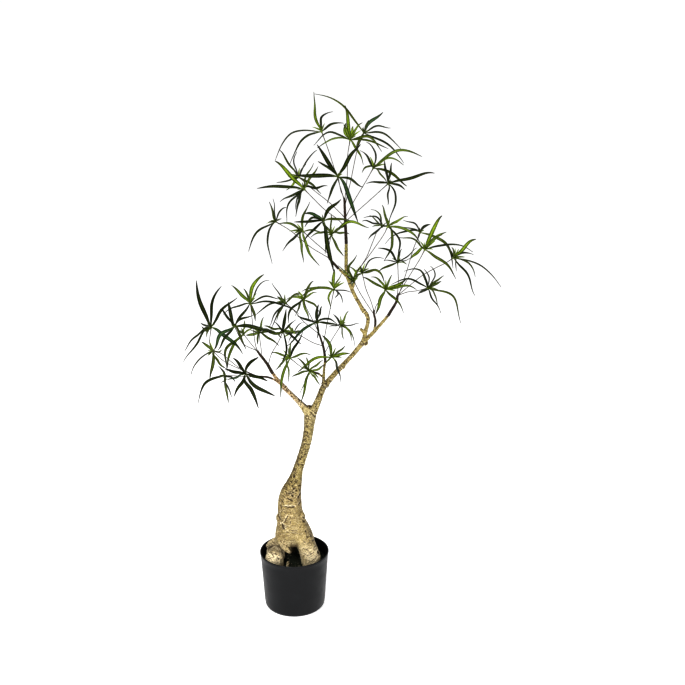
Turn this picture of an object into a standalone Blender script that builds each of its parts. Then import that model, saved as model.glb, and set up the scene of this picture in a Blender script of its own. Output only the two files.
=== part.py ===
"""A potted bottle tree: a knobbly forked trunk whose twigs carry sprays of long narrow leaves on thin stalks.

All the numbers are millimetres. The foot of the plant is at the origin, +Z is up and -Y is the front. Each
spray is written as it is seen from the front: its hub, its stalk down to a twig, and its leaves by their
bearing and reach.
"""
import math

import bpy
import bmesh
import numpy as np

MM = 0.001
GAP = 0.3                       # kept between neighbours that touch
MERGE_DISTANCE = 0.000002       # metres
EYE = np.array((114.0, -2330.0, 1410.0))   # leaves lean along the line of sight from here

# The pot and its filling.
POT_HEIGHT = 140.0
POT_RIM_RADIUS = 81.0
POT_BASE_RADIUS = 71.0
POT_CORNER = 8.0
POT_WALL = 2.2
POT_FLOOR = 3.0
POT_SIDES = 32
RIM_HEIGHT = 7.0
RIM_STEP = 0.8
SOIL_TOP = 112.0
SOIL_DOME = 4.0
SOIL_FLAT_RADIUS = 48.0

# The trunk: stem, roots and limbs as (x, y, z, radius) along their middle, in the order that they grow.
CORE = [(-3, 3, 160, 29), (-4, 2, 192, 31), (-6, 0, 223, 30), (-9, 0, 247, 29), (-9, 0, 268, 27.5),
        (-6, 0, 288, 24.5), (0, 0, 308, 19.5), (5, 0, 325, 15.5), (11, 0, 348, 12), (18, 0, 371, 11.2),
        (25, 0, 393, 11.2), (31, 0, 415, 11.2), (35, 0, 437, 11.3), (38, 0, 459, 12), (40, 0, 478, 13.8),
        (42, 0, 491, 12.5)]
ROOTS = {
    "right": [(0, -3, 232, 20), (12, -8, 200, 21), (24, -13, 172, 22), (34, -18, 148, 22.5),
              (40, -20, 126, 23.5), (42, -21, 92, 21)],
    "left": [(-17, -3, 228, 19), (-27, -6, 195, 16), (-32, -4, 172, 13), (-34, 4, 150, 11), (-34, 8, 92, 12)],
    "dome": [(-46, -27, 131, 21.5), (-45, -26, 118, 21.5), (-44, -26, 92, 19)],
    "dome_link": [(-33, 4, 120, 10), (-38, -8, 120, 12), (-44, -22, 120, 15)],
    "right_back": [(5, 12, 220, 16), (20, 22, 185, 17), (33, 30, 150, 14), (40, 34, 92, 13)],
    "left_back": [(-24, 4, 180, 11), (-37, 8, 164, 10), (-49, 12, 147, 9.5), (-59, 18, 130, 8.5),
                  (-61, 20, 92, 9)],
    "back": [(-4, 14, 212, 22), (-8, 32, 172, 17), (-12, 42, 132, 14), (-14, 44, 92, 13)],
    "finger": [(-34, -10, 174, 8), (-25, -24, 163, 7), (-14, -33, 157, 6), (-5, -38, 153, 4.5)],
    "tip": [(-32, -22, 104, 6), (-20, -28, 104, 5), (-15, -31, 113, 4.5), (-14, -32, 122, 3.7),
            (-14, -32, 128, 3)],
}
KNOTS = [(-46, -27, 131, 22), (-22, -17, 209, 14), (-27, -3, 226, 15), (13, -8, 232, 14),
         (32, -5, 481, 8.5), (46, 0, 478, 8.5)]
LIMBS = {
    "left": [(38, 0, 484, 10), (28, -2, 501, 8.4), (16, -6, 517, 6.3), (2, -12, 535, 5.3), (-13, -18, 553, 5),
             (-23, -23, 568, 4.5), (-33, -27, 582, 3.8), (-41, -30, 595, 3.4)],
    "right": [(44, 0, 484, 10), (52, 3, 502, 8.9), (59, 7, 517, 7.6), (65, 10, 533, 7), (72, 13, 548, 6.8),
              (82, 15, 560, 6.4), (97, 18, 577, 6), (111, 20, 592, 5.6), (124, 22, 606, 5.2),
              (138, 24, 621, 5.1), (151, 26, 637, 5.3), (161, 27, 649, 5.6), (171, 29, 659, 4.7),
              (183, 32, 670, 4.1), (195, 35, 683, 3.7), (205, 37, 694, 3.4), (216, 40, 707, 3.2)],
    "upper": [(157, 27, 643, 5), (163, 26, 659, 4.9), (165, 24, 674, 4.7), (169, 21, 689, 4.2),
              (171, 18, 705, 4.2), (167, 15, 719, 4.5), (159, 12, 729, 4.8), (152, 9, 743, 4.2),
              (143, 5, 760, 4.1), (135, 2, 778, 4.1), (129, -2, 796, 4), (124, -5, 812, 4.2),
              (122, -8, 830, 3.8), (122, -12, 858, 3.6), (122, -15, 885, 3.4)],
    "crown_side": [(124, -5, 809, 3), (114, -1, 818, 3), (106, 2, 825, 2.8)],
    "upper_side": [(134, 2, 776, 3), (138, -4, 788, 2.6), (139, -9, 797, 2.4)],
    "lower_side": [(184, 33, 668, 3), (186, 27, 681, 2.7), (187, 23, 689, 2.5)],
    "middle": [(69, 12, 540, 5), (71, 8, 562, 3.6), (72, 3, 580, 3.2), (73, -2, 597, 3), (75, -6, 613, 2.8)],
    "middle_side": [(72, 5, 572, 2.6), (66, -4, 580, 2.4), (61, -10, 586, 2.2)],
    "left_side": [(-24, -24, 567, 2.8), (-34, -34, 579, 2.4), (-41, -42, 586, 2.1)],
    "stub": [(164, 25, 669, 3.6), (159, 23, 676, 3.4), (154, 22, 682, 3.2)],
}
LIMB_KNOTS = [(166, 27, 647, 6), (116, 20, 592, 6), (80, 14, 551, 7), (-15, -19, 556, 5.8)]
STEM_SIDES = 20
ROOT_SIDES = 16
LIMB_SIDES = 7
STEM_STEP = 12.0                # between the rings of the stem, the roots and the short limbs
LONG_LIMBS = ("left", "right", "upper")
LONG_LIMB_STEP = 18.0
GROWN_CELL = 3.0                # the grid on which the stem and its roots grow together
GROWN_ROUNDS = 5                # how often the creases between them are softened
GROWN_KEPT = 0.052              # the share of the grid's faces that is kept
ROOT_HOLE_GAP = 0.5

# The twigs as (x, y, z, radius), each going on from the end of the limb of its name, and "crown" from "upper".
TWIGS = {
    "crown": [(121, -18, 910, 2.9), (120, -21, 934, 2.7), (119, -23, 959, 2.3), (118, -25, 984, 2.1)],
    "crown_side": [(95, 6, 836, 2.4), (85, 10, 847, 2.2), (83, 10, 857, 2)],
    "upper_side": [(142, -14, 810, 2.1), (145, -18, 823, 1.9), (152, -22, 834, 1.7)],
    "right": [(223, 42, 718, 2.9), (230, 44, 729, 2.7), (236, 46, 741, 2.6), (237, 46, 752, 2.4)],
    "lower_side": [(187, 15, 705, 2.2), (184, 8, 719, 2), (183, 3, 730, 1.8)],
    "middle": [(74, -10, 634, 2.5), (71, -13, 653, 2.2), (67, -15, 667, 2), (63, -16, 681, 1.8)],
    "middle_side": [(52, -18, 592, 2), (45, -24, 598, 1.8)],
    "left": [(-50, -36, 615, 3), (-59, -41, 631, 2.7), (-68, -45, 645, 2.4), (-72, -46, 652, 2.1)],
    "left_side": [(-52, -50, 593, 1.9), (-62, -56, 596, 1.8), (-70, -60, 598, 1.7)],
}

TWIG_SIDES = 6
TWIG_STEP = 10.0

# The sprays: tone, twig, hub (x, y, z), stalk from the hub down as (x, z), and leaves as
# (kind, bearing in degrees from +X, reach, bow at the middle). A kind is a tone and a roll: B bright, G green,
# D dark, T blue-green, O olive or K thin and grey, with its face turned w to the front, n half or t edge-on.
SPRAYS = {
    "top_left": ("mid", "crown", (70, 10, 1120), [(83, 1086), (113, 996), (118, 975)],
                 [("Bn", 100, 80, 8), ("Dn", 60, 50, 16), ("Dn", 25, 50, 4), ("Dt", 210, 115, -30),
                  ("Dn", 225, 95, -16)]),
    "top_middle": ("light", "crown", (130, 30, 1100), [(125, 1070), (124, 1027), (122, 976)],
                   [("Bw", 95, 70, -2), ("Bw", 105, 40, 6), ("Bn", 55, 45, 3), ("Dt", 190, 80, -24),
                    ("Gt", 190, 70, -7), ("Bn", 300, 60, 2), ("On", 345, 70, 15), ("Dt", 345, 85, 10)]),
    "top_right": ("dark", "crown", (160, 70, 1110), [(145, 1074), (132, 1018), (119, 970)],
                  [("Dn", 140, 135, -18), ("Tw", 45, 60, 7), ("Dn", 70, 30, 0), ("Dt", 10, 60, 8),
                   ("Dt", 340, 85, 12), ("Dn", 325, 110, 8), ("Dw", 245, 40, -1)]),
    "crown_front": ("dark", "crown", (105, -80, 1040), [(111, 1003), (118, 980)],
                    [("Dw", 125, 75, -1), ("Dn", 140, 55, 0), ("Dw", 180, 90, -3), ("Dw", 55, 80, 3),
                     ("Dn", 335, 55, 5), ("Tw", 295, 100, 2), ("Dn", 245, 55, 1)]),
    "crown_right": ("light", "crown", (180, 30, 1040), [(164, 1014), (137, 973), (122, 943)],
                    [("On", 200, 25, -7), ("Dn", 125, 50, -3), ("Dt", 105, 60, -14), ("Bw", 15, 110, 23),
                     ("Bn", 10, 65, 14), ("On", 330, 85, 11), ("Dt", 315, 40, 2)]),
    "crown_low_right": ("dark", "crown", (210, -20, 1015), [(164, 973), (130, 943), (121, 930)],
                        [("Dn", 100, 50, 0), ("Dn", 80, 50, 0), ("Dn", 15, 100, 0), ("Dn", 340, 40, 5),
                         ("Dt", 270, 45, 0), ("Dt", 270, 80, 17), ("Dn", 175, 45, 0)]),
    "crown_left": ("dark", "crown", (35, -60, 1010), [(77, 963), (102, 942), (120, 920)],
                   [("Bw", 135, 85, -1), ("Dn", 180, 100, -7), ("Dn", 205, 55, 0), ("Dw", 250, 60, -1),
                    ("Dt", 240, 75, -13), ("Dt", 245, 45, -6), ("Dn", 60, 60, 0), ("Dn", 10, 50, -1),
                    ("Dt", 70, 55, 5)]),
    "crown_back": ("light", "crown", (20, 60, 1015), [(50, 993), (87, 969), (118, 945)],
                   [("On", 125, 75, 1), ("Dt", 65, 35, 2), ("Dt", 195, 50, 0), ("Dn", 325, 60, 2),
                    ("Kt", 60, 75, 2), ("Kt", 95, 60, 9), ("Bn", 225, 40, 1)]),
    "shoulder_left": ("mid", "crown_side", (-30, 0, 930), [(1, 910), (44, 873), (85, 849)],
                      [("Dn", 105, 45, 1), ("Kt", 95, 50, -1), ("Dt", 55, 40, 4), ("Dn", 25, 15, 1),
                       ("Dt", 225, 85, -10), ("Dt", 265, 90, -15), ("Dn", 185, 15, 0)]),
    "shoulder_low": ("light", "crown_side", (30, -30, 915), [(51, 891), (85, 854)],
                     [("On", 160, 55, -5), ("Bn", 75, 65, 10), ("Ot", 355, 45, 4), ("Bn", 270, 65, -2),
                      ("Gn", 295, 80, -7), ("Dn", 220, 60, 0)]),
    "shoulder_front": ("dark", "crown_side", (75, -90, 950), [(79, 897), (89, 855)],
                       [("Dw", 50, 55, 7), ("Tw", 155, 45, -3), ("Dn", 185, 60, -2), ("Dn", 225, 55, -2),
                        ("Dw", 280, 105, 0), ("On", 0, 65, 2), ("Dn", 200, 40, -14)]),
    "shoulder_right": ("light", "crown_side", (90, -40, 910), [(85, 879), (86, 854)],
                       [("Gn", 300, 50, -3), ("Bn", 10, 80, 19), ("Dn", 30, 35, 3), ("Gn", 5, 40, 2),
                        ("Gn", 185, 45, -6), ("Dt", 90, 50, 0), ("Dt", 250, 40, -2), ("Tw", 125, 35, 0)]),
    "inner_left": ("dark", "upper_side", (200, 40, 910), [(189, 900), (165, 849), (150, 822)],
                   [("Dn", 160, 45, -1), ("Dt", 135, 40, -1), ("Dt", 150, 45, -12), ("Dt", 120, 50, -9),
                    ("Gn", 175, 20, -3), ("Dn", 220, 40, 1)]),
    "inner_right": ("light", "upper_side", (210, -30, 925), [(201, 906), (178, 871), (152, 831)],
                    [("On", 105, 50, -1), ("Bn", 30, 50, 1), ("Bn", 335, 75, 12), ("Gn", 265, 75, 12),
                     ("Dt", 290, 70, 12), ("Dt", 325, 25, -1)]),
    "outer_top": ("dark", "right", (285, 50, 895), [(272, 862), (256, 805), (233, 742)],
                  [("Dt", 145, 45, -9), ("Dt", 160, 45, -1), ("Dt", 195, 80, -12), ("Dw", 40, 30, 5),
                   ("On", 315, 105, 23), ("Dn", 250, 20, 0)]),
    "outer_middle": ("light", "right", (290, -30, 875), [(281, 851), (263, 811), (234, 750)],
                     [("Bw", 65, 85, 4), ("Bw", 40, 60, 6), ("Gn", 45, 50, 3), ("Gn", 0, 105, 12),
                      ("Gw", 320, 90, 5), ("Bw", 215, 40, -4), ("Ot", 155, 65, -9)]),
    "outer_right": ("light", "right", (355, 0, 850), [(339, 837), (292, 806), (236, 750)],
                    [("Bw", 45, 65, 0), ("Gn", 10, 45, 8), ("Dn", 100, 25, -2), ("Dn", 120, 35, -1),
                     ("Gn", 330, 120, 16), ("Dt", 320, 65, 13), ("Dn", 300, 100, 7), ("Kt", 285, 30, 1)]),
    "outer_left": ("mid", "right", (235, 20, 835), [(238, 786), (236, 752)],
                   [("Dn", 140, 55, -7), ("Dn", 75, 35, 1), ("Kt", 40, 55, -3), ("Kt", 20, 30, -2),
                    ("Kt", 170, 30, -1), ("Gt", 350, 20, 2), ("On", 205, 45, -1)]),
    "outer_low": ("mid", "right", (300, -10, 785), [(277, 773), (258, 766), (236, 748)],
                  [("Dt", 110, 35, 0), ("Dt", 140, 70, -18), ("Kt", 100, 45, -6), ("Kt", 85, 55, -13),
                   ("Dn", 40, 45, 0), ("Gw", 30, 35, -1), ("Dn", 170, 80, -11), ("Dw", 210, 25, 0),
                   ("On", 315, 105, 24), ("Gt", 345, 35, 1), ("Dt", 300, 60, -3), ("Dt", 300, 45, 6)]),
    "fork_right": ("light", "lower_side", (155, -60, 835), [(165, 788), (176, 756), (183, 728)],
                   [("On", 340, 50, 16), ("Kt", 40, 60, 10), ("Dn", 10, 25, 0), ("Dn", 105, 15, 0),
                    ("Dn", 205, 25, 0)]),
    "fork_left": ("light", "lower_side", (138, -75, 818), [(150, 788), (167, 752), (184, 724)],
                  [("Dt", 125, 35, -3), ("On", 55, 20, 0), ("Dn", 260, 25, 0), ("Dn", 205, 15, 1),
                   ("Dt", 145, 20, 1), ("On", 145, 50, -3), ("Dn", 85, 50, 11)]),
    "fork_low": ("light", "lower_side", (205, -80, 800), [(195, 765), (187, 747), (185, 720)],
                 [("Gn", 70, 35, -1), ("Gn", 135, 45, -5), ("Gn", 150, 55, -1), ("Bw", 25, 50, -1),
                  ("Bw", 5, 65, 4), ("Bw", 250, 55, -2), ("Dn", 310, 60, 2)]),
    "far_left_top": ("dark", "left_side", (-170, -60, 710), [(-173, 669), (-148, 636), (-87, 604),
    (-66, 597)],
                     [("Dw", 105, 105, 6), ("Dn", 75, 100, 11), ("Dw", 50, 90, 5), ("Dn", 155, 25, 1),
                      ("Tw", 320, 85, 5), ("Dn", 220, 80, -5), ("Dn", 230, 95, -1), ("Dn", 245, 25, -3),
                      ("Dw", 175, 20, 7)]),
    "far_left_front": ("dark", "left", (-115, -100, 725), [(-99, 674), (-71, 648)],
                       [("Dn", 125, 50, 0), ("Dw", 100, 60, 4), ("Dw", 55, 60, 1), ("Dn", 30, 50, 6),
                        ("Dw", 350, 85, 6), ("Tw", 230, 70, -10), ("Dw", 235, 65, -1), ("On", 295, 55, 1)]),
    "left_top": ("light", "left", (-90, 20, 740), [(-83, 694), (-77, 664), (-71, 648)],
                 [("Bw", 65, 75, 13), ("Bn", 135, 60, -2), ("Dn", 110, 40, 0), ("Kt", 55, 75, 8),
                  ("Dn", 10, 65, 10), ("Dn", 350, 110, 13), ("Dn", 200, 65, -5), ("Tw", 285, 40, 1)]),
    "left_inner": ("light", "left", (-70, -20, 685), [(-65, 655), (-62, 635)],
                   [("On", 75, 40, -1), ("Bw", 190, 30, 1), ("Gn", 260, 25, -1), ("Gw", 0, 45, 4),
                    ("On", 330, 50, -1), ("Dn", 160, 20, 0), ("Gn", 20, 25, 4)]),
    "left_back": ("mid", "left", (-110, 50, 660), [(-92, 653), (-70, 645)],
                  [("On", 85, 35, 0), ("Bn", 35, 30, 2), ("On", 245, 90, -12), ("On", 245, 100, -21),
                   ("Gn", 145, 15, -2), ("Dn", 220, 30, 1)]),
    "far_left_low": ("light", "left_side", (-175, 20, 630), [(-156, 628), (-116, 607), (-68, 598)],
                     [("Bw", 140, 35, 0), ("Gn", 175, 15, -1), ("Gn", 225, 75, -11), ("Gw", 260, 65, 1),
                      ("On", 300, 50, -4), ("Gn", 15, 20, -5)]),
    "low_left_front": ("dark", "left_side", (-95, -90, 615), [(-82, 604), (-68, 598)],
                       [("Dw", 125, 45, -1), ("Dw", 55, 50, 6), ("Dw", 165, 45, 2), ("Tn", 200, 45, 1),
                        ("Dw", 240, 55, 3), ("Dw", 290, 80, -3), ("Dw", 320, 80, -9), ("Dw", 340, 50, 1)]),
    "low_left": ("dark", "left_side", (-150, 10, 575), [(-126, 582), (-92, 590), (-66, 597)],
                 [("Dw", 225, 90, -21), ("Dn", 125, 30, -2), ("Dn", 325, 25, 4), ("Gn", 275, 70, -3),
                  ("Dt", 285, 50, -3), ("Dn", 235, 20, 6)]),
    "left_front": ("dark", "left", (-15, -60, 700), [(-26, 674), (-42, 644), (-52, 618)],
                   [("Dw", 80, 50, 1), ("Dn", 45, 40, 0), ("Dt", 125, 30, 0), ("Dn", 160, 45, 0),
                    ("Dw", 265, 75, 9),
                    ("Dn", 325, 50, 2), ("Gw", 180, 30, 4), ("Dn", 260, 15, -7), ("Dn", 5, 30, -1)]),
    "middle_back": ("light", "middle", (5, 30, 670), [(21, 666), (48, 656), (70, 655)],
                    [("Dn", 120, 25, 1), ("Kt", 50, 35, 4), ("Kt", 240, 25, -1), ("Gw", 10, 20, 1),
                     ("Gn", 185, 20, 2)]),
    "middle_left": ("mid", "middle", (-10, -10, 750), [(5, 737), (27, 711), (63, 678)],
                    [("Gw", 140, 25, 0), ("Kt", 120, 60, 3), ("Dt", 200, 70, -10), ("Dt", 235, 70, -5),
                     ("Kt", 240, 70, -4), ("Gn", 240, 45, -2), ("Dn", 40, 40, 2)]),
    "middle_top": ("light", "middle", (30, -20, 760), [(34, 745), (49, 713), (63, 676)],
                   [("On", 65, 50, 4), ("On", 35, 35, 3), ("Bn", 175, 40, -6), ("Dt", 160, 25, -10),
                    ("On", 325, 40, 4), ("Bn", 285, 45, -2), ("Dn", 235, 60, -11), ("Dn", 240, 40, -1)]),
    "middle_front": ("dark", "middle", (60, -70, 725), [(62, 693), (64, 678)],
                     [("Dw", 85, 40, 4), ("Dn", 75, 40, 0), ("Dn", 160, 45, 3), ("Tw", 220, 90, -5),
                      ("Dn", 270, 35, 1), ("Dn", 355, 45, 9), ("Dn", 350, 50, 2)]),
    "low_middle_left": ("light", "middle_side", (0, -60, 640), [(24, 612), (46, 597)],
                        [("Gn", 160, 45, -1), ("Tw", 65, 70, 0), ("Gn", 15, 45, 2), ("Dn", 220, 45, -2),
                         ("Gn", 255, 95, -4), ("Gt", 265, 55, -1), ("Gn", 85, 40, 3)]),
    "low_middle": ("light", "middle_side", (42, -62, 612), [(46, 598)],
                   [("Dn", 130, 40, 0), ("Gn", 100, 35, 0), ("Gn", 200, 40, -2), ("Gn", 40, 40, 0),
                    ("Gn", 25, 35, -5), ("Gn", 305, 40, 0), ("Gn", 255, 80, 0), ("Dt", 245, 55, 4),
                    ("Dn", 320, 25, 1)]),
    "low_middle_right": ("light", "middle", (90, -50, 640), [(84, 632), (74, 625)],
                         [("Gw", 110, 55, -5), ("Dn", 40, 40, -1), ("Gw", 10, 40, 2), ("Dn", 290, 60, 3),
                          ("Gn", 205, 80, -11), ("Gn", 230, 20, 0)]),
    "inside_low": ("mid", "middle", (110, 20, 690), [(91, 663), (73, 638)],
                   [("Gn", 65, 40, -1), ("Dn", 120, 35, -1), ("Kt", 10, 40, -3), ("Dt", 280, 35, 0),
                    ("Gn", 305, 40, 8), ("Dt", 305, 55, 10), ("Dt", 180, 25, 1)]),
    "inside_top": ("light", "middle", (95, 30, 770), [(84, 718), (77, 686), (71, 652)],
                   [("Bw", 90, 50, 1), ("Dt", 65, 45, 1), ("Gn", 180, 70, -6), ("Gn", 190, 80, -9),
                    ("Gn", 260, 40, -8), ("Dn", 275, 20, 8), ("Kt", 305, 35, 4), ("Kt", 350, 45, 2)]),
}

# Leaves and stalks.
BLADE_THICKNESS = 1.3
NARROWEST_BLADE = 4.6
BLADE_WIDENING = 0.038          # more width for each millimetre of reach
THIN_SHARE = 0.75               # a thin leaf's width, and every leaf's thickness at its base
BLADE_POINTS = 40               # points on a leaf's middle line, which its stations fall on
WIDEST_BLADE = 8.2
# A blade's outline as (share of length, share of width), with fewer points on a short one.
LONG_BLADE = [(0.0, 0.15), (0.22, 0.72), (0.5, 1.0), (0.8, 0.76), (1.0, 0.0)]
SHORT_BLADE = [(0.0, 0.15), (0.3, 0.84), (0.7, 0.9), (1.0, 0.0)]
LONG_REACH = 70
SHORTEST_LEAF = 52.0            # a leaf that points to the front or back
LENGTH_PER_REACH = 0.45
LEAST_STRETCH = 1.06            # a leaf's length is at least this times its reach
LEAN_AT_MIDDLE = 0.58
ROLL = {"w": 12.0, "n": 48.0, "t": 76.0}   # degrees that a blade turns its face from the front
LEANS = (1.0, -1.0, 0.75, -0.75, 1.2, -1.2, 0.5, -0.5, 0.3, -0.3, 0.12, -0.12)   # tried in this order
HUB_SIDES = 5
HUB_RADIUS = 3.0
HUB_BASE_RADIUS = 2.4
HUB_WIDEST = 0.8                # how far beyond its middle a bud is widest
HUB_BACK = 3.0
HUB_FRONT = 3.5
STALK_RADIUS = 0.8
STALK_SIDES = 4
STALK_STEP = 30.0
STALK_BULGES = (0.0, 9.0, -9.0, 18.0, -18.0, 27.0, -27.0)
CLEARANCE = 0.7
STALK_CLEARANCE = 1.7
CHECK_STEP = 3.0
NEIGHBOURHOOD = 260.0           # how far round a hub its stalk looks for neighbours

COLOURS = {
    "pot": ((0.022, 0.023, 0.025), 0.42), "soil": ((0.03, 0.025, 0.02), 0.95),
    "trunk": ((0.42, 0.31, 0.16), 0.8), "twig": ((0.11, 0.08, 0.055), 0.7),
    "light": ((0.2, 0.3, 0.05), 0.5), "mid": ((0.09, 0.16, 0.05), 0.5), "dark": ((0.03, 0.06, 0.035), 0.5),
}


def clear_scene():
    """Take out the objects of the startup scene."""
    for item in list(bpy.data.objects):
        bpy.data.objects.remove(item)


def material(name):
    """The Principled finish of that name, made once."""
    if name in bpy.data.materials:
        return bpy.data.materials[name]
    made = bpy.data.materials.new(name)
    made.use_nodes = True
    shader = made.node_tree.nodes["Principled BSDF"]
    colour, roughness = COLOURS[name]
    shader.inputs["Base Color"].default_value = (*colour, 1.0)
    shader.inputs["Roughness"].default_value = roughness
    shader.inputs["Metallic"].default_value = 0.0
    made.diffuse_color = (*colour, 1.0)
    return made


def add_object(name, points, faces, finish=None):
    """A mesh object from points in millimetres and faces that all turn the same way, made to face outward."""
    mesh = bpy.data.meshes.new(name)
    mesh.from_pydata([tuple(float(value) * MM for value in point) for point in points], [], faces)
    work = bmesh.new()
    work.from_mesh(mesh)
    if work.calc_volume(signed=True) < 0:
        bmesh.ops.reverse_faces(work, faces=work.faces)
    work.to_mesh(mesh)
    work.free()
    item = bpy.data.objects.new(name, mesh)
    bpy.context.scene.collection.objects.link(item)
    if finish:
        mesh.materials.append(material(finish))
    return item


def applied(item):
    """Put the evaluated mesh in place of the object's mesh and its modifiers."""
    bpy.context.view_layer.update()
    graph = bpy.context.evaluated_depsgraph_get()
    mesh = bpy.data.meshes.new_from_object(item.evaluated_get(graph))
    finish = item.data.materials[0] if item.data.materials else None
    item.modifiers.clear()
    item.data = mesh
    mesh.materials.clear()
    if finish:
        mesh.materials.append(finish)
    return item


def joined(base, pieces, solver="EXACT"):
    """The base with the pieces united into it by one Boolean, as one body."""
    group = bpy.data.collections.new(base.name + "_pieces")
    bpy.context.scene.collection.children.link(group)
    for piece in pieces:
        bpy.context.scene.collection.objects.unlink(piece)
        group.objects.link(piece)
    union = base.modifiers.new("Union", "BOOLEAN")
    union.operation = "UNION"
    union.operand_type = "COLLECTION"
    union.collection = group
    union.solver = solver
    applied(base)
    for piece in pieces:
        bpy.data.objects.remove(piece)
    bpy.data.collections.remove(group)
    tidy_mesh(base, merge=solver == "EXACT")
    return base


def tidy_mesh(item, merge=True):
    """Split faces into triangles and drop loose scraps, after merging points that a Boolean left together."""
    work = bmesh.new()
    work.from_mesh(item.data)
    if merge:
        bmesh.ops.remove_doubles(work, verts=work.verts, dist=MERGE_DISTANCE)
        bmesh.ops.dissolve_degenerate(work, edges=work.edges, dist=MERGE_DISTANCE / 2)
    bmesh.ops.triangulate(work, faces=work.faces)
    left = set(work.verts)
    groups = []
    while left:
        stack = [left.pop()]
        group = list(stack)
        while stack:
            for edge in stack.pop().link_edges:
                for vertex in edge.verts:
                    if vertex in left:
                        left.remove(vertex)
                        group.append(vertex)
                        stack.append(vertex)
        groups.append(group)
    groups.sort(key=len)
    for group in groups[:-1]:
        bmesh.ops.delete(work, geom=group, context="VERTS")
    work.to_mesh(item.data)
    work.free()


def smooth_route(points, step):
    """Points about a step apart on the smooth curve (Catmull-Rom) through the given ones."""
    points = np.asarray(points, float)
    padded = np.vstack([2 * points[0] - points[1], points, 2 * points[-1] - points[-2]])
    route = [points[0]]
    for index in range(len(points) - 1):
        a, b, c, d = padded[index:index + 4]
        count = max(1, round(np.linalg.norm((c - b)[:3]) / step))
        for t in (np.arange(count) + 1) / count:
            route.append(0.5 * (2 * b + (c - a) * t + (2 * a - 5 * b + 4 * c - d) * t ** 2
                                + (3 * b - a - 3 * c + d) * t ** 3))
    return np.array(route)


def along(route):
    """The unit direction at each point of a route."""
    ahead = np.gradient(np.asarray(route)[:, :3], axis=0)
    return ahead / np.linalg.norm(ahead, axis=1, keepdims=True)


def rings_to_solid(name, rings, finish=None, point=None):
    """A closed solid through equal rings, ending flat, or in a point where one is given."""
    sides = len(rings[0])
    points = [corner for ring in rings for corner in ring]
    faces = [tuple(range(sides))]
    for row in range(len(rings) - 1):
        low, high = row * sides, (row + 1) * sides
        for side in range(sides):
            after = (side + 1) % sides
            faces.append((low + side, high + side, high + after))
            faces.append((low + side, high + after, low + after))
    last = (len(rings) - 1) * sides
    if point is None:
        faces.append(tuple(last + side for side in reversed(range(sides))))
    else:
        points.append(point)
        faces += [(last + (side + 1) % sides, last + side, len(points) - 1) for side in range(sides)]
    return add_object(name, points, faces, finish)


def tube(name, route, sides, finish=None, point=None):
    """A round tube along (x, y, z, radius) points, with flat ends square to it or its last end in a point."""
    route = np.asarray(route, float)
    ahead = along(route)
    across = np.cross(ahead[0], (0.3, 1.0, 0.2))
    rings = []
    for row, way in zip(route, ahead):
        across = across - way * np.dot(across, way)
        across /= np.linalg.norm(across)
        up = np.cross(way, across)
        rings.append([row[:3] + row[3] * (math.cos(turn) * across + math.sin(turn) * up)
                      for turn in np.arange(sides) * 2 * math.pi / sides])
    return rings_to_solid(name, rings, finish, point)


def ball(name, place, radius, detail):
    """A faceted ball, finer with more detail."""
    work = bmesh.new()
    bmesh.ops.create_icosphere(work, subdivisions=detail, radius=radius)
    points = [np.array(vertex.co) + place for vertex in work.verts]
    faces = [tuple(vertex.index for vertex in face.verts) for face in work.faces]
    work.free()
    return add_object(name, points, faces)


def turned(name, profile, sides, finish):
    """A solid turned about Z from a closed (radius, height) outline, whose ends may lie on the axis."""
    points, rings = [], []
    for radius, height in profile:
        count = sides if radius > 0 else 1
        rings.append(list(range(len(points), len(points) + count)))
        for turn in np.arange(count) * 2 * math.pi / sides:
            points.append((radius * math.cos(turn), radius * math.sin(turn), height))
    faces = []
    for low, high in zip(rings, rings[1:]):
        for side in range(sides):
            corners = [low[side % len(low)], low[(side + 1) % len(low)]]
            corners += [high[(side + 1) % len(high)], high[side % len(high)]]
            faces.append(tuple(dict.fromkeys(corners)))
    item = add_object(name, points, faces, finish)
    item.data.shade_smooth()
    item.data.set_sharp_from_angle(angle=math.radians(35))
    return item


def pot_radius(height):
    """The pot's outer radius under the rim band."""
    return POT_BASE_RADIUS + (POT_RIM_RADIUS - RIM_STEP - POT_BASE_RADIUS) * height / POT_HEIGHT


def make_pot():
    """A thin tapered shell with a rounded bottom edge, a flat underside and a slightly raised rim band."""
    outside = [(0, 0)]
    centre = POT_BASE_RADIUS - POT_CORNER
    for turn in range(5):
        angle = math.radians(-90 + turn * 22.5)
        outside.append((centre + POT_CORNER * math.cos(angle), POT_CORNER + POT_CORNER * math.sin(angle)))
    band = POT_HEIGHT - RIM_HEIGHT
    outside += [(pot_radius(band - 1), band - 1), (pot_radius(band) + RIM_STEP, band)]
    outside += [(POT_RIM_RADIUS, POT_HEIGHT - 0.8), (POT_RIM_RADIUS - 0.8, POT_HEIGHT)]
    inside = [(POT_RIM_RADIUS - POT_WALL - RIM_STEP, POT_HEIGHT), (pot_radius(band) - POT_WALL, band)]
    inside += [(pot_radius(POT_CORNER) - POT_WALL, POT_CORNER), (centre, POT_FLOOR), (0, POT_FLOOR)]
    return turned("pot", outside + inside, POT_SIDES, "pot")


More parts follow.
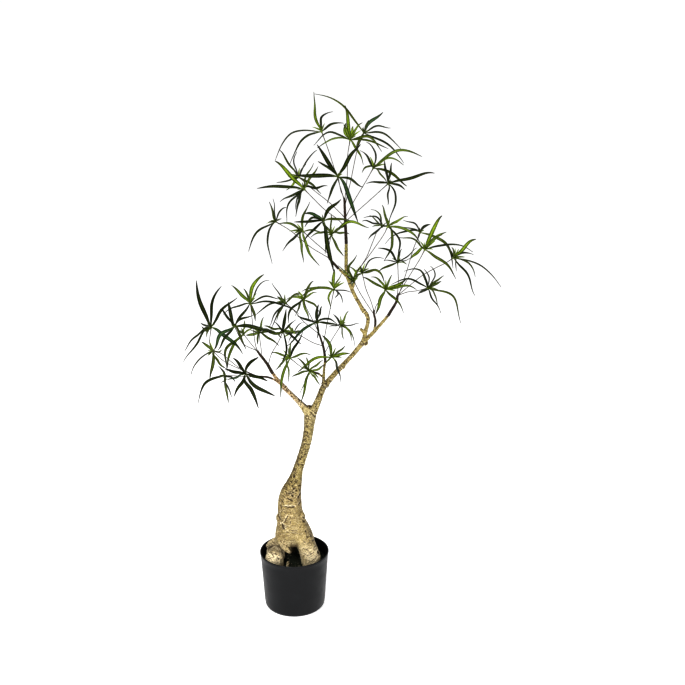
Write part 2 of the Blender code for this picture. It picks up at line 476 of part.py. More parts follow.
def make_soil(trunk):
    """The filling up to below the rim, low at the wall, with plain holes that the roots stand in."""
    centre = POT_BASE_RADIUS - POT_CORNER
    wall = POT_WALL + GAP
    profile = [(0, POT_FLOOR + GAP), (centre - GAP, POT_FLOOR + GAP)]
    profile += [(pot_radius(POT_CORNER) - wall, POT_CORNER + GAP), (pot_radius(SOIL_TOP) - wall, SOIL_TOP)]
    profile += [(SOIL_FLAT_RADIUS, SOIL_TOP + SOIL_DOME), (0, SOIL_TOP + SOIL_DOME)]
    soil = turned("soil", profile, POT_SIDES, "soil")
    cutter = bpy.data.objects.new("root_holes", trunk.data.copy())
    bpy.context.scene.collection.objects.link(cutter)
    for vertex, source in zip(cutter.data.vertices, trunk.data.vertices):
        vertex.co = source.co + source.normal * ROOT_HOLE_GAP * MM
    cut = soil.modifiers.new("Root holes", "BOOLEAN")
    cut.operation = "DIFFERENCE"
    cut.solver = "EXACT"
    cut.object = cutter
    applied(soil)
    bpy.data.objects.remove(cutter)
    tidy_mesh(soil)
    return soil


def make_trunk():
    """Roots, stem, fork and limbs as the one piece that grew."""
    foot = tube("trunk", smooth_route(CORE, STEM_STEP), STEM_SIDES, "trunk")
    roots = [tube("root_" + name, smooth_route(route, STEM_STEP), ROOT_SIDES)
             for name, route in ROOTS.items()]
    knots = [ball("knot", np.array(place[:3]), place[3], 2) for place in KNOTS]
    joined(foot, roots + knots)
    remesh = foot.modifiers.new("Grown together", "REMESH")
    remesh.mode = "VOXEL"
    remesh.voxel_size = GROWN_CELL * MM
    soften = foot.modifiers.new("Soften", "SMOOTH")
    soften.factor = 0.5
    soften.iterations = GROWN_ROUNDS
    thin = foot.modifiers.new("Fewer faces", "DECIMATE")
    thin.ratio = GROWN_KEPT
    applied(foot)
    tidy_mesh(foot)
    limbs = []
    for name, route in LIMBS.items():
        step = LONG_LIMB_STEP if name in LONG_LIMBS else STEM_STEP
        limbs.append(tube("limb_" + name, smooth_route(route, step), LIMB_SIDES))
    limbs += [ball("limb_knot", np.array(place[:3]), place[3], 1) for place in LIMB_KNOTS]
    return joined(foot, limbs)


class Room:
    """Points along all that is placed, with half widths, so that the next blade is bent clear of it."""

    def __init__(self):
        self.points = np.zeros((0, 3))
        self.widths = np.zeros(0)
        self.owners = []

    def add(self, route, widths, owner):
        self.points = np.vstack([self.points, route])
        self.widths = np.append(self.widths, widths)
        self.owners += [owner] * len(route)

    def near(self, centre, reach, owner):
        """What other owners have within reach of a place, as points and half widths."""
        close = np.linalg.norm(self.points - centre, axis=1) < reach
        other = np.array([name != owner for name in self.owners])
        return self.points[close & other], self.widths[close & other]


def clear_by(route, widths, neighbours):
    """The least distance between a route's surface and its neighbours' surfaces."""
    points, reaches = neighbours
    if not len(points):
        return 1000.0
    apart = np.linalg.norm(route[:, None, :] - points[None, :, :], axis=2)
    return float((apart - widths[:, None] - reaches[None, :]).min())


def twig_route(name):
    """A twig's own points, started a gap beyond the flat end of its limb."""
    limb = np.array(LIMBS["upper" if name == "crown" else name], float)
    way = along(smooth_route(limb, TWIG_STEP))[-1]
    start = limb[-1].copy()
    start[:3] += way * GAP
    start[3] = min(start[3] - 0.2, TWIGS[name][0][3] + 0.2)
    first = start.copy()
    first[:3] += way * 3
    return smooth_route([start, first] + TWIGS[name], TWIG_STEP)


def stalk_route(hub, stalk, twig, bulge):
    """A stalk's middle from inside its twig up to its hub, at an even change of depth, bulged to or fro."""
    hub = np.array(hub, float)
    root_x, root_z = stalk[-1]
    inner = twig[2:]
    foot = inner[np.argmin(np.hypot(inner[:, 0] - root_x, inner[:, 2] - root_z))][:3]
    flat = [(foot[0], foot[2])] + [point for point in stalk[-2::-1]] + [(hub[0], hub[2])]
    steps = np.cumsum([0] + [math.dist(a, b) for a, b in zip(flat, flat[1:])])
    share = steps / steps[-1]
    depth = foot[1] + (hub[1] - foot[1]) * share + bulge * np.sin(math.pi * share)
    return smooth_route([(x, y, z) for (x, z), y in zip(flat, depth)], STALK_STEP)


def blade_line(hub, axis, bearing, reach, bow, lean, shares):
    """Points on a leaf's middle line, which leaves the hub sideways or forward and leans along the sight."""
    hub = np.array(hub, float)
    sight = (hub - EYE) / (hub - EYE)[1]
    out = np.array((math.cos(math.radians(bearing)), 0.0, math.sin(math.radians(bearing))))
    side = np.array((-out[2], 0.0, out[0]))
    middle = out * reach * 0.5 + side * bow + sight * lean * LEAN_AT_MIDDLE
    tip = out * reach + sight * lean
    start = middle / np.linalg.norm(middle)
    backward = 0.15 - float(np.dot(start, axis))
    if backward > 0:
        start = start + axis * backward
        start /= np.linalg.norm(start)
    leave = start * np.linalg.norm(middle)
    across = tip * 0.5
    land = (tip - middle) * 0.9
    line = []
    for share in shares:
        a, b, c, d = ((0 * hub, leave, middle, across) if share <= 0.5 else (middle, across, tip, land))
        t = share * 2 if share <= 0.5 else share * 2 - 1
        line.append(hub + a * (2 * t ** 3 - 3 * t ** 2 + 1) + b * (t ** 3 - 2 * t ** 2 + t)
                    + c * (3 * t ** 2 - 2 * t ** 3) + d * (t ** 3 - t ** 2))
    return np.array(line)


def blade_width(kind, reach):
    """A leaf's full width, from how far it reaches."""
    width = min(WIDEST_BLADE, NARROWEST_BLADE + BLADE_WIDENING * reach)
    return width * (THIN_SHARE if kind[0] == "K" else 1.0)


def blade_shape(reach):
    """The outline that a leaf of that reach has."""
    return LONG_BLADE if reach >= LONG_REACH else SHORT_BLADE


def width_at(shares, reach):
    """The shares of a leaf's full width at shares of its length."""
    stations, widths = zip(*blade_shape(reach))
    return np.interp(shares, stations, widths)


def natural_lean(reach):
    """How far a leaf must lean to the front or back to have its grown length, from the reach that shows."""
    length = max(LEAST_STRETCH * reach, SHORTEST_LEAF + LENGTH_PER_REACH * reach)
    return math.sqrt(length ** 2 - reach ** 2)


def place_blade(room, owner, hub, axis, leaf, number, own):
    """The lean that keeps a leaf clear of all other nodes and, if it can, of its own spray, with its line."""
    kind, bearing, reach, bow = leaf
    shares = np.linspace(0, 1, max(12, int(reach / CHECK_STEP) + 12))
    widths = blade_width(kind, reach) / 2 * width_at(shares, reach)
    others = room.near(np.array(hub), reach + 90, owner)
    first = 1 if number % 2 else -1
    best, best_clear = None, -1000.0
    for own_too in (True, False):
        for lean in LEANS:
            lean *= first * natural_lean(reach)
            line = blade_line(hub, axis, bearing, reach, bow, lean, shares)
            clear = clear_by(line, widths, others)
            if own_too and own:
                outer = slice(len(shares) // 3, None)
                mine = [np.concatenate(parts) for parts in zip(*own)]
                if clear_by(line[outer], widths[outer], mine) < 0:
                    continue
            if clear > CLEARANCE:
                return lean, line, widths
            if clear > best_clear:
                best, best_clear = (lean, line, widths), clear
    return best


def make_blade(name, hub, axis, leaf, lean):
    """A lance-shaped leaf, flat above and keeled below, from inside the hub to its point."""
    kind, bearing, reach, bow = leaf
    shares = [share for share, width in blade_shape(reach)]
    line = blade_line(hub, axis, bearing, reach, bow, lean, np.linspace(0, 1, BLADE_POINTS + 1))
    ways = along(line)
    sight = EYE - np.array(hub)
    sight /= np.linalg.norm(sight)
    widths = blade_width(kind, reach) * width_at(shares, reach)
    rings = []
    turn = math.radians(ROLL[kind[1]])
    upper = np.array((0.0, 0.0, 1.0))
    for share, width in zip(shares[:-1], widths):
        index = round(share * BLADE_POINTS)
        place, way = line[index], ways[index]
        face = sight - way * np.dot(sight, way)
        face /= np.linalg.norm(face)
        side = np.cross(way, face)
        up = [face * math.cos(angle) + side * math.sin(angle) for angle in (turn, -turn)]
        upper = max(up, key=lambda vector: np.dot(vector, upper))
        edge = np.cross(way, upper)
        thick = BLADE_THICKNESS * (THIN_SHARE if share == 0 else 1.0)
        flat = place + upper * thick / 3
        rings.append([flat + edge * width / 2, flat - edge * width / 2, place - upper * thick * 2 / 3])
    return rings_to_solid(name, rings, point=line[-1])


def make_hub(name, hub, axis, tone):
    """The small bud that the leaves of a spray grow from, with a flat base towards its stalk."""
    hub = np.array(hub, float)
    route = [(*(hub - axis * HUB_BACK), HUB_BASE_RADIUS), (*(hub + axis * HUB_WIDEST), HUB_RADIUS)]
    return tube(name, route, HUB_SIDES, tone, point=hub + axis * HUB_FRONT)


def make_twigs(room):
    """Each twig with all its stalks as one piece, and the direction in which each stalk meets its hub."""
    axes = {}
    for name in TWIGS:
        twig = twig_route(name)
        dense = smooth_route(twig, CHECK_STEP)
        room.add(dense[:, :3], dense[:, 3], "twig_" + name)
        pieces = []
        for spray, (tone, on_twig, hub, stalk, leaves) in SPRAYS.items():
            if on_twig != name:
                continue
            others = room.near(np.array(hub), NEIGHBOURHOOD, "twig_" + name)
            routes = []
            for bulge in STALK_BULGES:
                route = stalk_route(hub, stalk, twig, bulge)
                check = smooth_route(route, CHECK_STEP)
                routes.append((clear_by(check, np.full(len(check), STALK_RADIUS), others), route, check))
                if routes[-1][0] > STALK_CLEARANCE:
                    break
            clear, route, check = max(routes, key=lambda found: found[0])
            axis = along(route)[-1]
            axes[spray] = axis
            route[-1] = np.array(hub) - axis * (HUB_BACK + GAP)
            route = np.hstack([route, np.full((len(route), 1), STALK_RADIUS)])
            pieces.append(tube("stalk_" + spray, route, STALK_SIDES))
            room.add(check[:-2], np.full(len(check) - 2, STALK_RADIUS), "twig_" + name)
        joined(tube("twig_" + name, twig, TWIG_SIDES, "twig"), pieces, "MANIFOLD")
    return axes


def make_sprays(room, axes):
    """Each spray's bud and leaves as one piece."""
    for spray, (tone, on_twig, hub, stalk, leaves) in SPRAYS.items():
        room.add(np.array([hub]), np.array([HUB_RADIUS + 1]), "spray_" + spray)
    for spray, (tone, on_twig, hub, stalk, leaves) in SPRAYS.items():
        owner = "spray_" + spray
        axis = axes[spray]
        own, blades = [], []
        for number, leaf in enumerate(leaves):
            lean, line, widths = place_blade(room, owner, hub, axis, leaf, number, own)
            room.add(line, widths, owner)
            own.append((line, widths))
            blades.append(make_blade(owner + "_blade", hub, axis, leaf, lean))
        joined(make_hub(owner, hub, axis, tone), blades, "MANIFOLD")


def main():
    """The pot, the trunk in its filling, then twigs and sprays, each kept clear of what came before it."""
    clear_scene()
    make_pot()
    trunk = make_trunk()
    make_soil(trunk)
    room = Room()
    for name, limb in list(LIMBS.items()) + list(ROOTS.items()) + [("core", CORE)]:
        dense = smooth_route(limb, CHECK_STEP)
        room.add(dense[:, :3], dense[:, 3], "trunk")
    axes = make_twigs(room)
    make_sprays(room, axes)


main()
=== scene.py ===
"""A potted bottle tree: its pot, soil, bark, twigs, leaves and studio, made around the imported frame.

All the numbers of the tree's shape are millimetres. The foot of the plant is at the origin, +Z is up and -Y is
the front. The tables of roots, limbs, twigs and sprays follow those that the frame was made from, so that each
fine piece lies where the solid that it replaces lies. A few leaves, knots and marks are added or fitted here.
"""
import math
import random
from functools import cache

import bmesh
import bpy
import numpy as np
from bpy.props import FloatProperty, FloatVectorProperty, IntProperty, PointerProperty
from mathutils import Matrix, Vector, noise
from mathutils.kdtree import KDTree


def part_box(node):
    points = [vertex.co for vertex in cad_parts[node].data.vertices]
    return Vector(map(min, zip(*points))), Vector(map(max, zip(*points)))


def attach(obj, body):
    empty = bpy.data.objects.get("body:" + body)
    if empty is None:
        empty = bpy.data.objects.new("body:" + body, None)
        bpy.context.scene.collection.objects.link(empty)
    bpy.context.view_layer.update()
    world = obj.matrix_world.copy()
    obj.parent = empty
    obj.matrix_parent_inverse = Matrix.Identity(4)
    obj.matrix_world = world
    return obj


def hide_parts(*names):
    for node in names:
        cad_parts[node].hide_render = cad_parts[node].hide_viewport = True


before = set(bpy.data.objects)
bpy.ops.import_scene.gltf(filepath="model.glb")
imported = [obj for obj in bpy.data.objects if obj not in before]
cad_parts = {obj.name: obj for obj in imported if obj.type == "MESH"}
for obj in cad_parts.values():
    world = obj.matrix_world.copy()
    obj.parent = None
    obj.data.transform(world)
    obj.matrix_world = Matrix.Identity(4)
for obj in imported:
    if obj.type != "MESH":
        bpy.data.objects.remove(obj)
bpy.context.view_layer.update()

bl_info = {
    "name": "Potted bottle tree",
    "version": (1, 0, 0),
    "blender": (4, 5, 0),
    "location": "3D View > Sidebar > Bottle tree",
    "description": "Dresses the frame of a potted bottle tree with pot, soil, bark, twigs, leaves and a studio",
    "category": "Object",
}

MM = 0.001
GAP = 0.3                       # kept between neighbours that touch
POT_FLOOR = 3.0                 # thickness of the pot's bottom
SOIL_RINGS = 46                 # of faces from the wall to the middle
SOIL_SIDES = 150
GROUND_REACH = 0.0035           # metres round a grain within which it lies on the highest soil
ROOT_CLEARANCE = 0.0012         # metres between a grain and the roots
EYE = np.array((114.0, -2330.0, 1410.0))   # the camera, along whose line of sight the leaves lean

# The trunk: stem, roots and limbs as (x, y, z, radius) along their middle, in the order that they grow.
CORE = [(-3, 3, 160, 29), (-4, 2, 192, 31), (-6, 0, 223, 30), (-9, 0, 247, 29), (-9, 0, 268, 27.5),
        (-6, 0, 288, 24.5), (0, 0, 308, 19.5), (5, 0, 325, 15.5), (11, 0, 348, 12), (18, 0, 371, 11.2),
        (25, 0, 393, 11.2), (31, 0, 415, 11.2), (35, 0, 437, 11.3), (38, 0, 459, 12), (40, 0, 478, 13.8),
        (42, 0, 491, 12.5)]
ROOTS = {
    "right": [(0, -3, 232, 20), (12, -8, 200, 21), (24, -13, 172, 22), (34, -18, 148, 22.5),
              (40, -20, 126, 23.5), (42, -21, 92, 21)],
    "left": [(-17, -3, 228, 19), (-27, -6, 195, 16), (-32, -4, 172, 13), (-34, 4, 150, 11), (-34, 8, 92, 12)],
    "dome": [(-46, -27, 131, 21.5), (-45, -26, 118, 21.5), (-44, -26, 92, 19)],
    "dome_link": [(-33, 4, 120, 10), (-38, -8, 120, 12), (-44, -22, 120, 15)],
    "right_back": [(5, 12, 220, 16), (20, 22, 185, 17), (33, 30, 150, 14), (40, 34, 92, 13)],
    "left_back": [(-24, 4, 180, 11), (-37, 8, 164, 10), (-49, 12, 147, 9.5), (-59, 18, 130, 8.5),
                  (-61, 20, 92, 9)],
    "back": [(-4, 14, 212, 22), (-8, 32, 172, 17), (-12, 42, 132, 14), (-14, 44, 92, 13)],
    "finger": [(-34, -10, 174, 8), (-25, -24, 163, 7), (-14, -33, 157, 6), (-5, -38, 153, 4.5)],
    "tip": [(-32, -22, 104, 6), (-20, -28, 104, 5), (-15, -31, 113, 4.5), (-14, -32, 122, 3.7),
            (-14, -32, 128, 3)],
}
KNOTS = [(-46, -27, 131, 22), (-22, -17, 209, 14), (-27, -3, 226, 15), (13, -8, 232, 14),
         (35, -5, 481, 8), (46, 0, 478, 8.5)]
LIMBS = {
    "left": [(38, 0, 484, 10), (28, -2, 501, 8.4), (16, -6, 517, 6.3), (2, -12, 535, 5.3), (-13, -18, 553, 5),
             (-23, -23, 568, 4.5), (-33, -27, 582, 3.8), (-41, -30, 595, 3.4)],
    "right": [(44, 0, 484, 10), (52, 3, 502, 8.9), (59, 7, 517, 7.6), (65, 10, 533, 7), (72, 13, 548, 6.8),
              (82, 15, 560, 6.4), (97, 18, 577, 6), (111, 20, 592, 5.6), (124, 22, 606, 5.2),
              (138, 24, 621, 5.1), (151, 26, 637, 5.3), (161, 27, 649, 5.6), (171, 29, 659, 4.7),
              (183, 32, 670, 4.1), (195, 35, 683, 3.7), (205, 37, 694, 3.4), (216, 40, 707, 3.2)],
    "upper": [(157, 27, 643, 5), (163, 26, 659, 4.9), (165, 24, 674, 4.7), (169, 21, 689, 4.2),
              (171, 18, 705, 4.2), (167, 15, 719, 4.5), (159, 12, 729, 4.8), (152, 9, 743, 4.2),
              (143, 5, 760, 4.1), (135, 2, 778, 4.1), (129, -2, 796, 4), (124, -5, 812, 4.2),
              (122, -8, 830, 3.8), (122, -12, 858, 3.6), (122, -15, 885, 3.4)],
    "crown_side": [(124, -5, 809, 3), (114, -1, 818, 3), (106, 2, 825, 2.8)],
    "upper_side": [(134, 2, 776, 3), (138, -4, 788, 2.6), (139, -9, 797, 2.4)],
    "lower_side": [(184, 33, 668, 3), (186, 27, 681, 2.7), (187, 23, 689, 2.5)],
    "middle": [(69, 12, 540, 5), (71, 8, 562, 3.6), (72, 3, 580, 3.2), (73, -2, 597, 3), (75, -6, 613, 2.8)],
    "middle_side": [(72, 5, 572, 2.6), (66, -4, 580, 2.4), (61, -10, 586, 2.2)],
    "left_side": [(-24, -24, 567, 2.8), (-34, -34, 579, 2.4), (-41, -42, 586, 2.1)],
    "stub": [(164, 25, 669, 3.6), (159, 23, 676, 3.4), (154, 22, 682, 3.2)],
}
LIMB_KNOTS = [(166, 27, 647, 6), (115, 20, 593, 5.7), (78, 14, 552, 6.6), (-15, -19, 556, 5.8)]
# Marks on the front of the bark as (x, z, x, z, half width, depth, lip above): slits, cracks and ticks, each lip
# raised and painted pale as a highlight.
STROKES = [
    (26, 417, 41, 415, 1.2, 1.2, 0.6), (8, 366, 24, 363.5, 1.3, 1.2, 0.5), (-17, 266, 2, 265, 1.5, 2.0, 1.3),
    (-13, 286, -2, 280, 1.5, 1.4, 0.2), (-3, 294, 0, 290, 1.5, 1.6, 0.5), (11, 285, 21, 297, 1.6, 1.8, 0.4),
    (13, 268, 21, 277, 1.3, 1.4, 0.6), (-12, 297, 2, 300, 1.1, 0.7, 0.4), (-27, 279, -24, 275, 1.4, 1.1, 0.2),
    (-29, 267, -28, 258, 1.2, 0.9, 0.2), (-20, 252, -18, 250, 1.3, 0.9, 0.2), (-36, 238, -32, 229, 1.6, 1.6, 0.6),
    (-13, 243, -21, 226, 1.1, 0.5, 0.9), (-26, 219, -22, 210, 2.0, 2.2, 1.0), (-24, 220, -12, 216, 1.0, 0.5, 0.9),
    (-16, 201, -12, 200, 1.6, 1.3, 0.3), (-5, 206, 8, 205, 1.0, 0.6, 0.5), (-4, 200, 6, 199, 1.0, 0.6, 0.5),
    (-7, 253, -6, 251, 1.1, 0.7, 0.1), (-7, 241, -7, 239, 1.2, 0.8, 0.1), (-7, 229, -6, 226, 1.2, 0.8, 0.1),
    (21, 236, 25, 231, 1.1, 1.5, 0.7), (21, 225, 25, 221, 1.1, 1.4, 0.7), (27, 203, 30, 199, 1.3, 1.0, 0.3),
    (31, 191, 33, 188, 1.3, 1.0, 0.2), (39, 188, 43, 184, 1.1, 1.2, 0.3), (45, 177, 50, 172, 1.1, 1.1, 0.3),
    (25, 179, 27, 177, 1.3, 0.8, 0.2), (49, 164, 54, 161, 1.2, 1.1, 0.3), (56, 150, 62, 141, 1.8, 2.0, 0.8),
    (24, 151, 34, 147, 0.9, 0.7, 0.5), (34, 147, 47, 153, 0.9, 0.8, 0.6), (28, 137, 41, 133, 0.9, 0.8, 0.7),
    (41, 133, 55, 142, 1.0, 1.0, 0.6), (22, 163, 35, 160, 0.8, 0.5, 0.5), (-8, 179, 4, 181, 0.9, 0.8, 0.3),
    (-6, 175, 6, 176, 0.9, 0.9, 0.4), (-6, 171, -5, 170, 1.4, 1.1, 0.1), (-43, 151, -40, 149, 1.2, 1.0, 0.3),
    (-38, 143, -35, 141, 1.2, 1.0, 0.3), (-50, 149, -46, 146, 1.0, 0.8, 0.3), (-30, 138, -28, 134, 1.1, 0.9, 0.3),
    (42, 493, 46, 490, 1.4, 1.3, 0.3), (48, 486, 53, 483, 1.5, 1.6, 0.8), (26, 446, 34, 446, 1.4, 1.1, 0.2),
    (33, 446, 33, 439, 1.3, 1.1, 0.1), (37, 434, 39, 433, 1.5, 1.3, 0.3), (24, 425, 28, 427, 1.3, 1.1, 0.2),
    (24, 410, 28, 417, 1.4, 1.2, 0.2), (17, 400, 21, 396, 1.2, 1.0, 0.2), (13, 383, 11, 372, 1.3, 1.0, 0.2),
    (0, 339, 6, 344, 1.5, 1.3, 0.2), (3, 355, 6, 348, 1.3, 1.0, 0.2), (-2, 327, 8, 324, 1.2, 0.9, 0.3),
    (11, 315, 15, 312, 1.2, 0.9, 0.2), (-11, 318, -8, 315, 1.4, 1.1, 0.2), (13, 304, 16, 301, 1.2, 0.8, 0.2),
    (-18, 300, -15, 297, 1.3, 0.9, 0.2), (-23, 290, -20, 287, 1.3, 0.9, 0.2), (20, 387, 27, 385, 1.0, 0.7, 0.2)]
SADDLE = (38.5, -1, 499.5, 8.5)    # fills the fork between the two main limbs
SPUR = [(-36, -2, 172, 5), (-48, 6, 163, 5.2), (-58, 12, 154, 4.6), (-65, 16, 145, 3.6), (-68, 18, 138, 2.6)]
# Furrows between the roots, darkened as painted shade: half width, depth and the points they run through.
FURROWS = [(4.3, 5.0, [(-67, 11, 134), (-60, 7, 142), (-52, 1, 147), (-45, -4, 149), (-37, -9, 148.5),
                       (-30, -9, 143), (-25, -5, 135), (-24, -1, 127)]),
           (2.3, 1.6, [(-40, -13, 163), (-35, -20, 161), (-30, -26, 157.5), (-24, -31, 153)])]
FORK_TOP = 514                  # small rings start above the fork
COLLARS = {"left": (555,), "right": (552, 592, 647), "upper": (725, 822)}    # heights of the thick rings
# Round knots on the front of the bark: x, z, size and depth.
KNOT_HOLES = [(34, 482, 5.6, 2.0), (45, 468, 4.2, 1.1), (-24, 214, 5.5, 1.2), (41, 176, 3.6, 0.8),
              (50, 160, 4, 0.8)]

# The twigs as (x, y, z, radius), each going on from the end of the limb of its name, and "crown" from "upper".
TWIGS = {
    "crown": [(121, -18, 910, 2.9), (120, -21, 934, 2.7), (119, -23, 959, 2.3), (118, -25, 984, 2.1)],
    "crown_side": [(95, 6, 836, 2.4), (85, 10, 847, 2.2), (83, 10, 857, 2)],
    "upper_side": [(142, -14, 810, 2.1), (145, -18, 823, 1.9), (152, -22, 834, 1.7)],
    "right": [(223, 42, 718, 2.9), (230, 44, 729, 2.7), (236, 46, 741, 2.6), (237, 46, 752, 2.4)],
    "lower_side": [(187, 15, 705, 2.2), (184, 8, 719, 2), (183, 3, 730, 1.8)],
    "middle": [(74, -10, 634, 2.5), (71, -13, 653, 2.2), (67, -15, 667, 2), (63, -16, 681, 1.8)],
    "middle_side": [(52, -18, 592, 2), (45, -24, 598, 1.8)],
    "left": [(-50, -36, 615, 3), (-59, -41, 631, 2.7), (-68, -45, 645, 2.4), (-72, -46, 652, 2.1)],
    "left_side": [(-52, -50, 593, 1.9), (-62, -56, 596, 1.8), (-70, -60, 598, 1.7)],
}

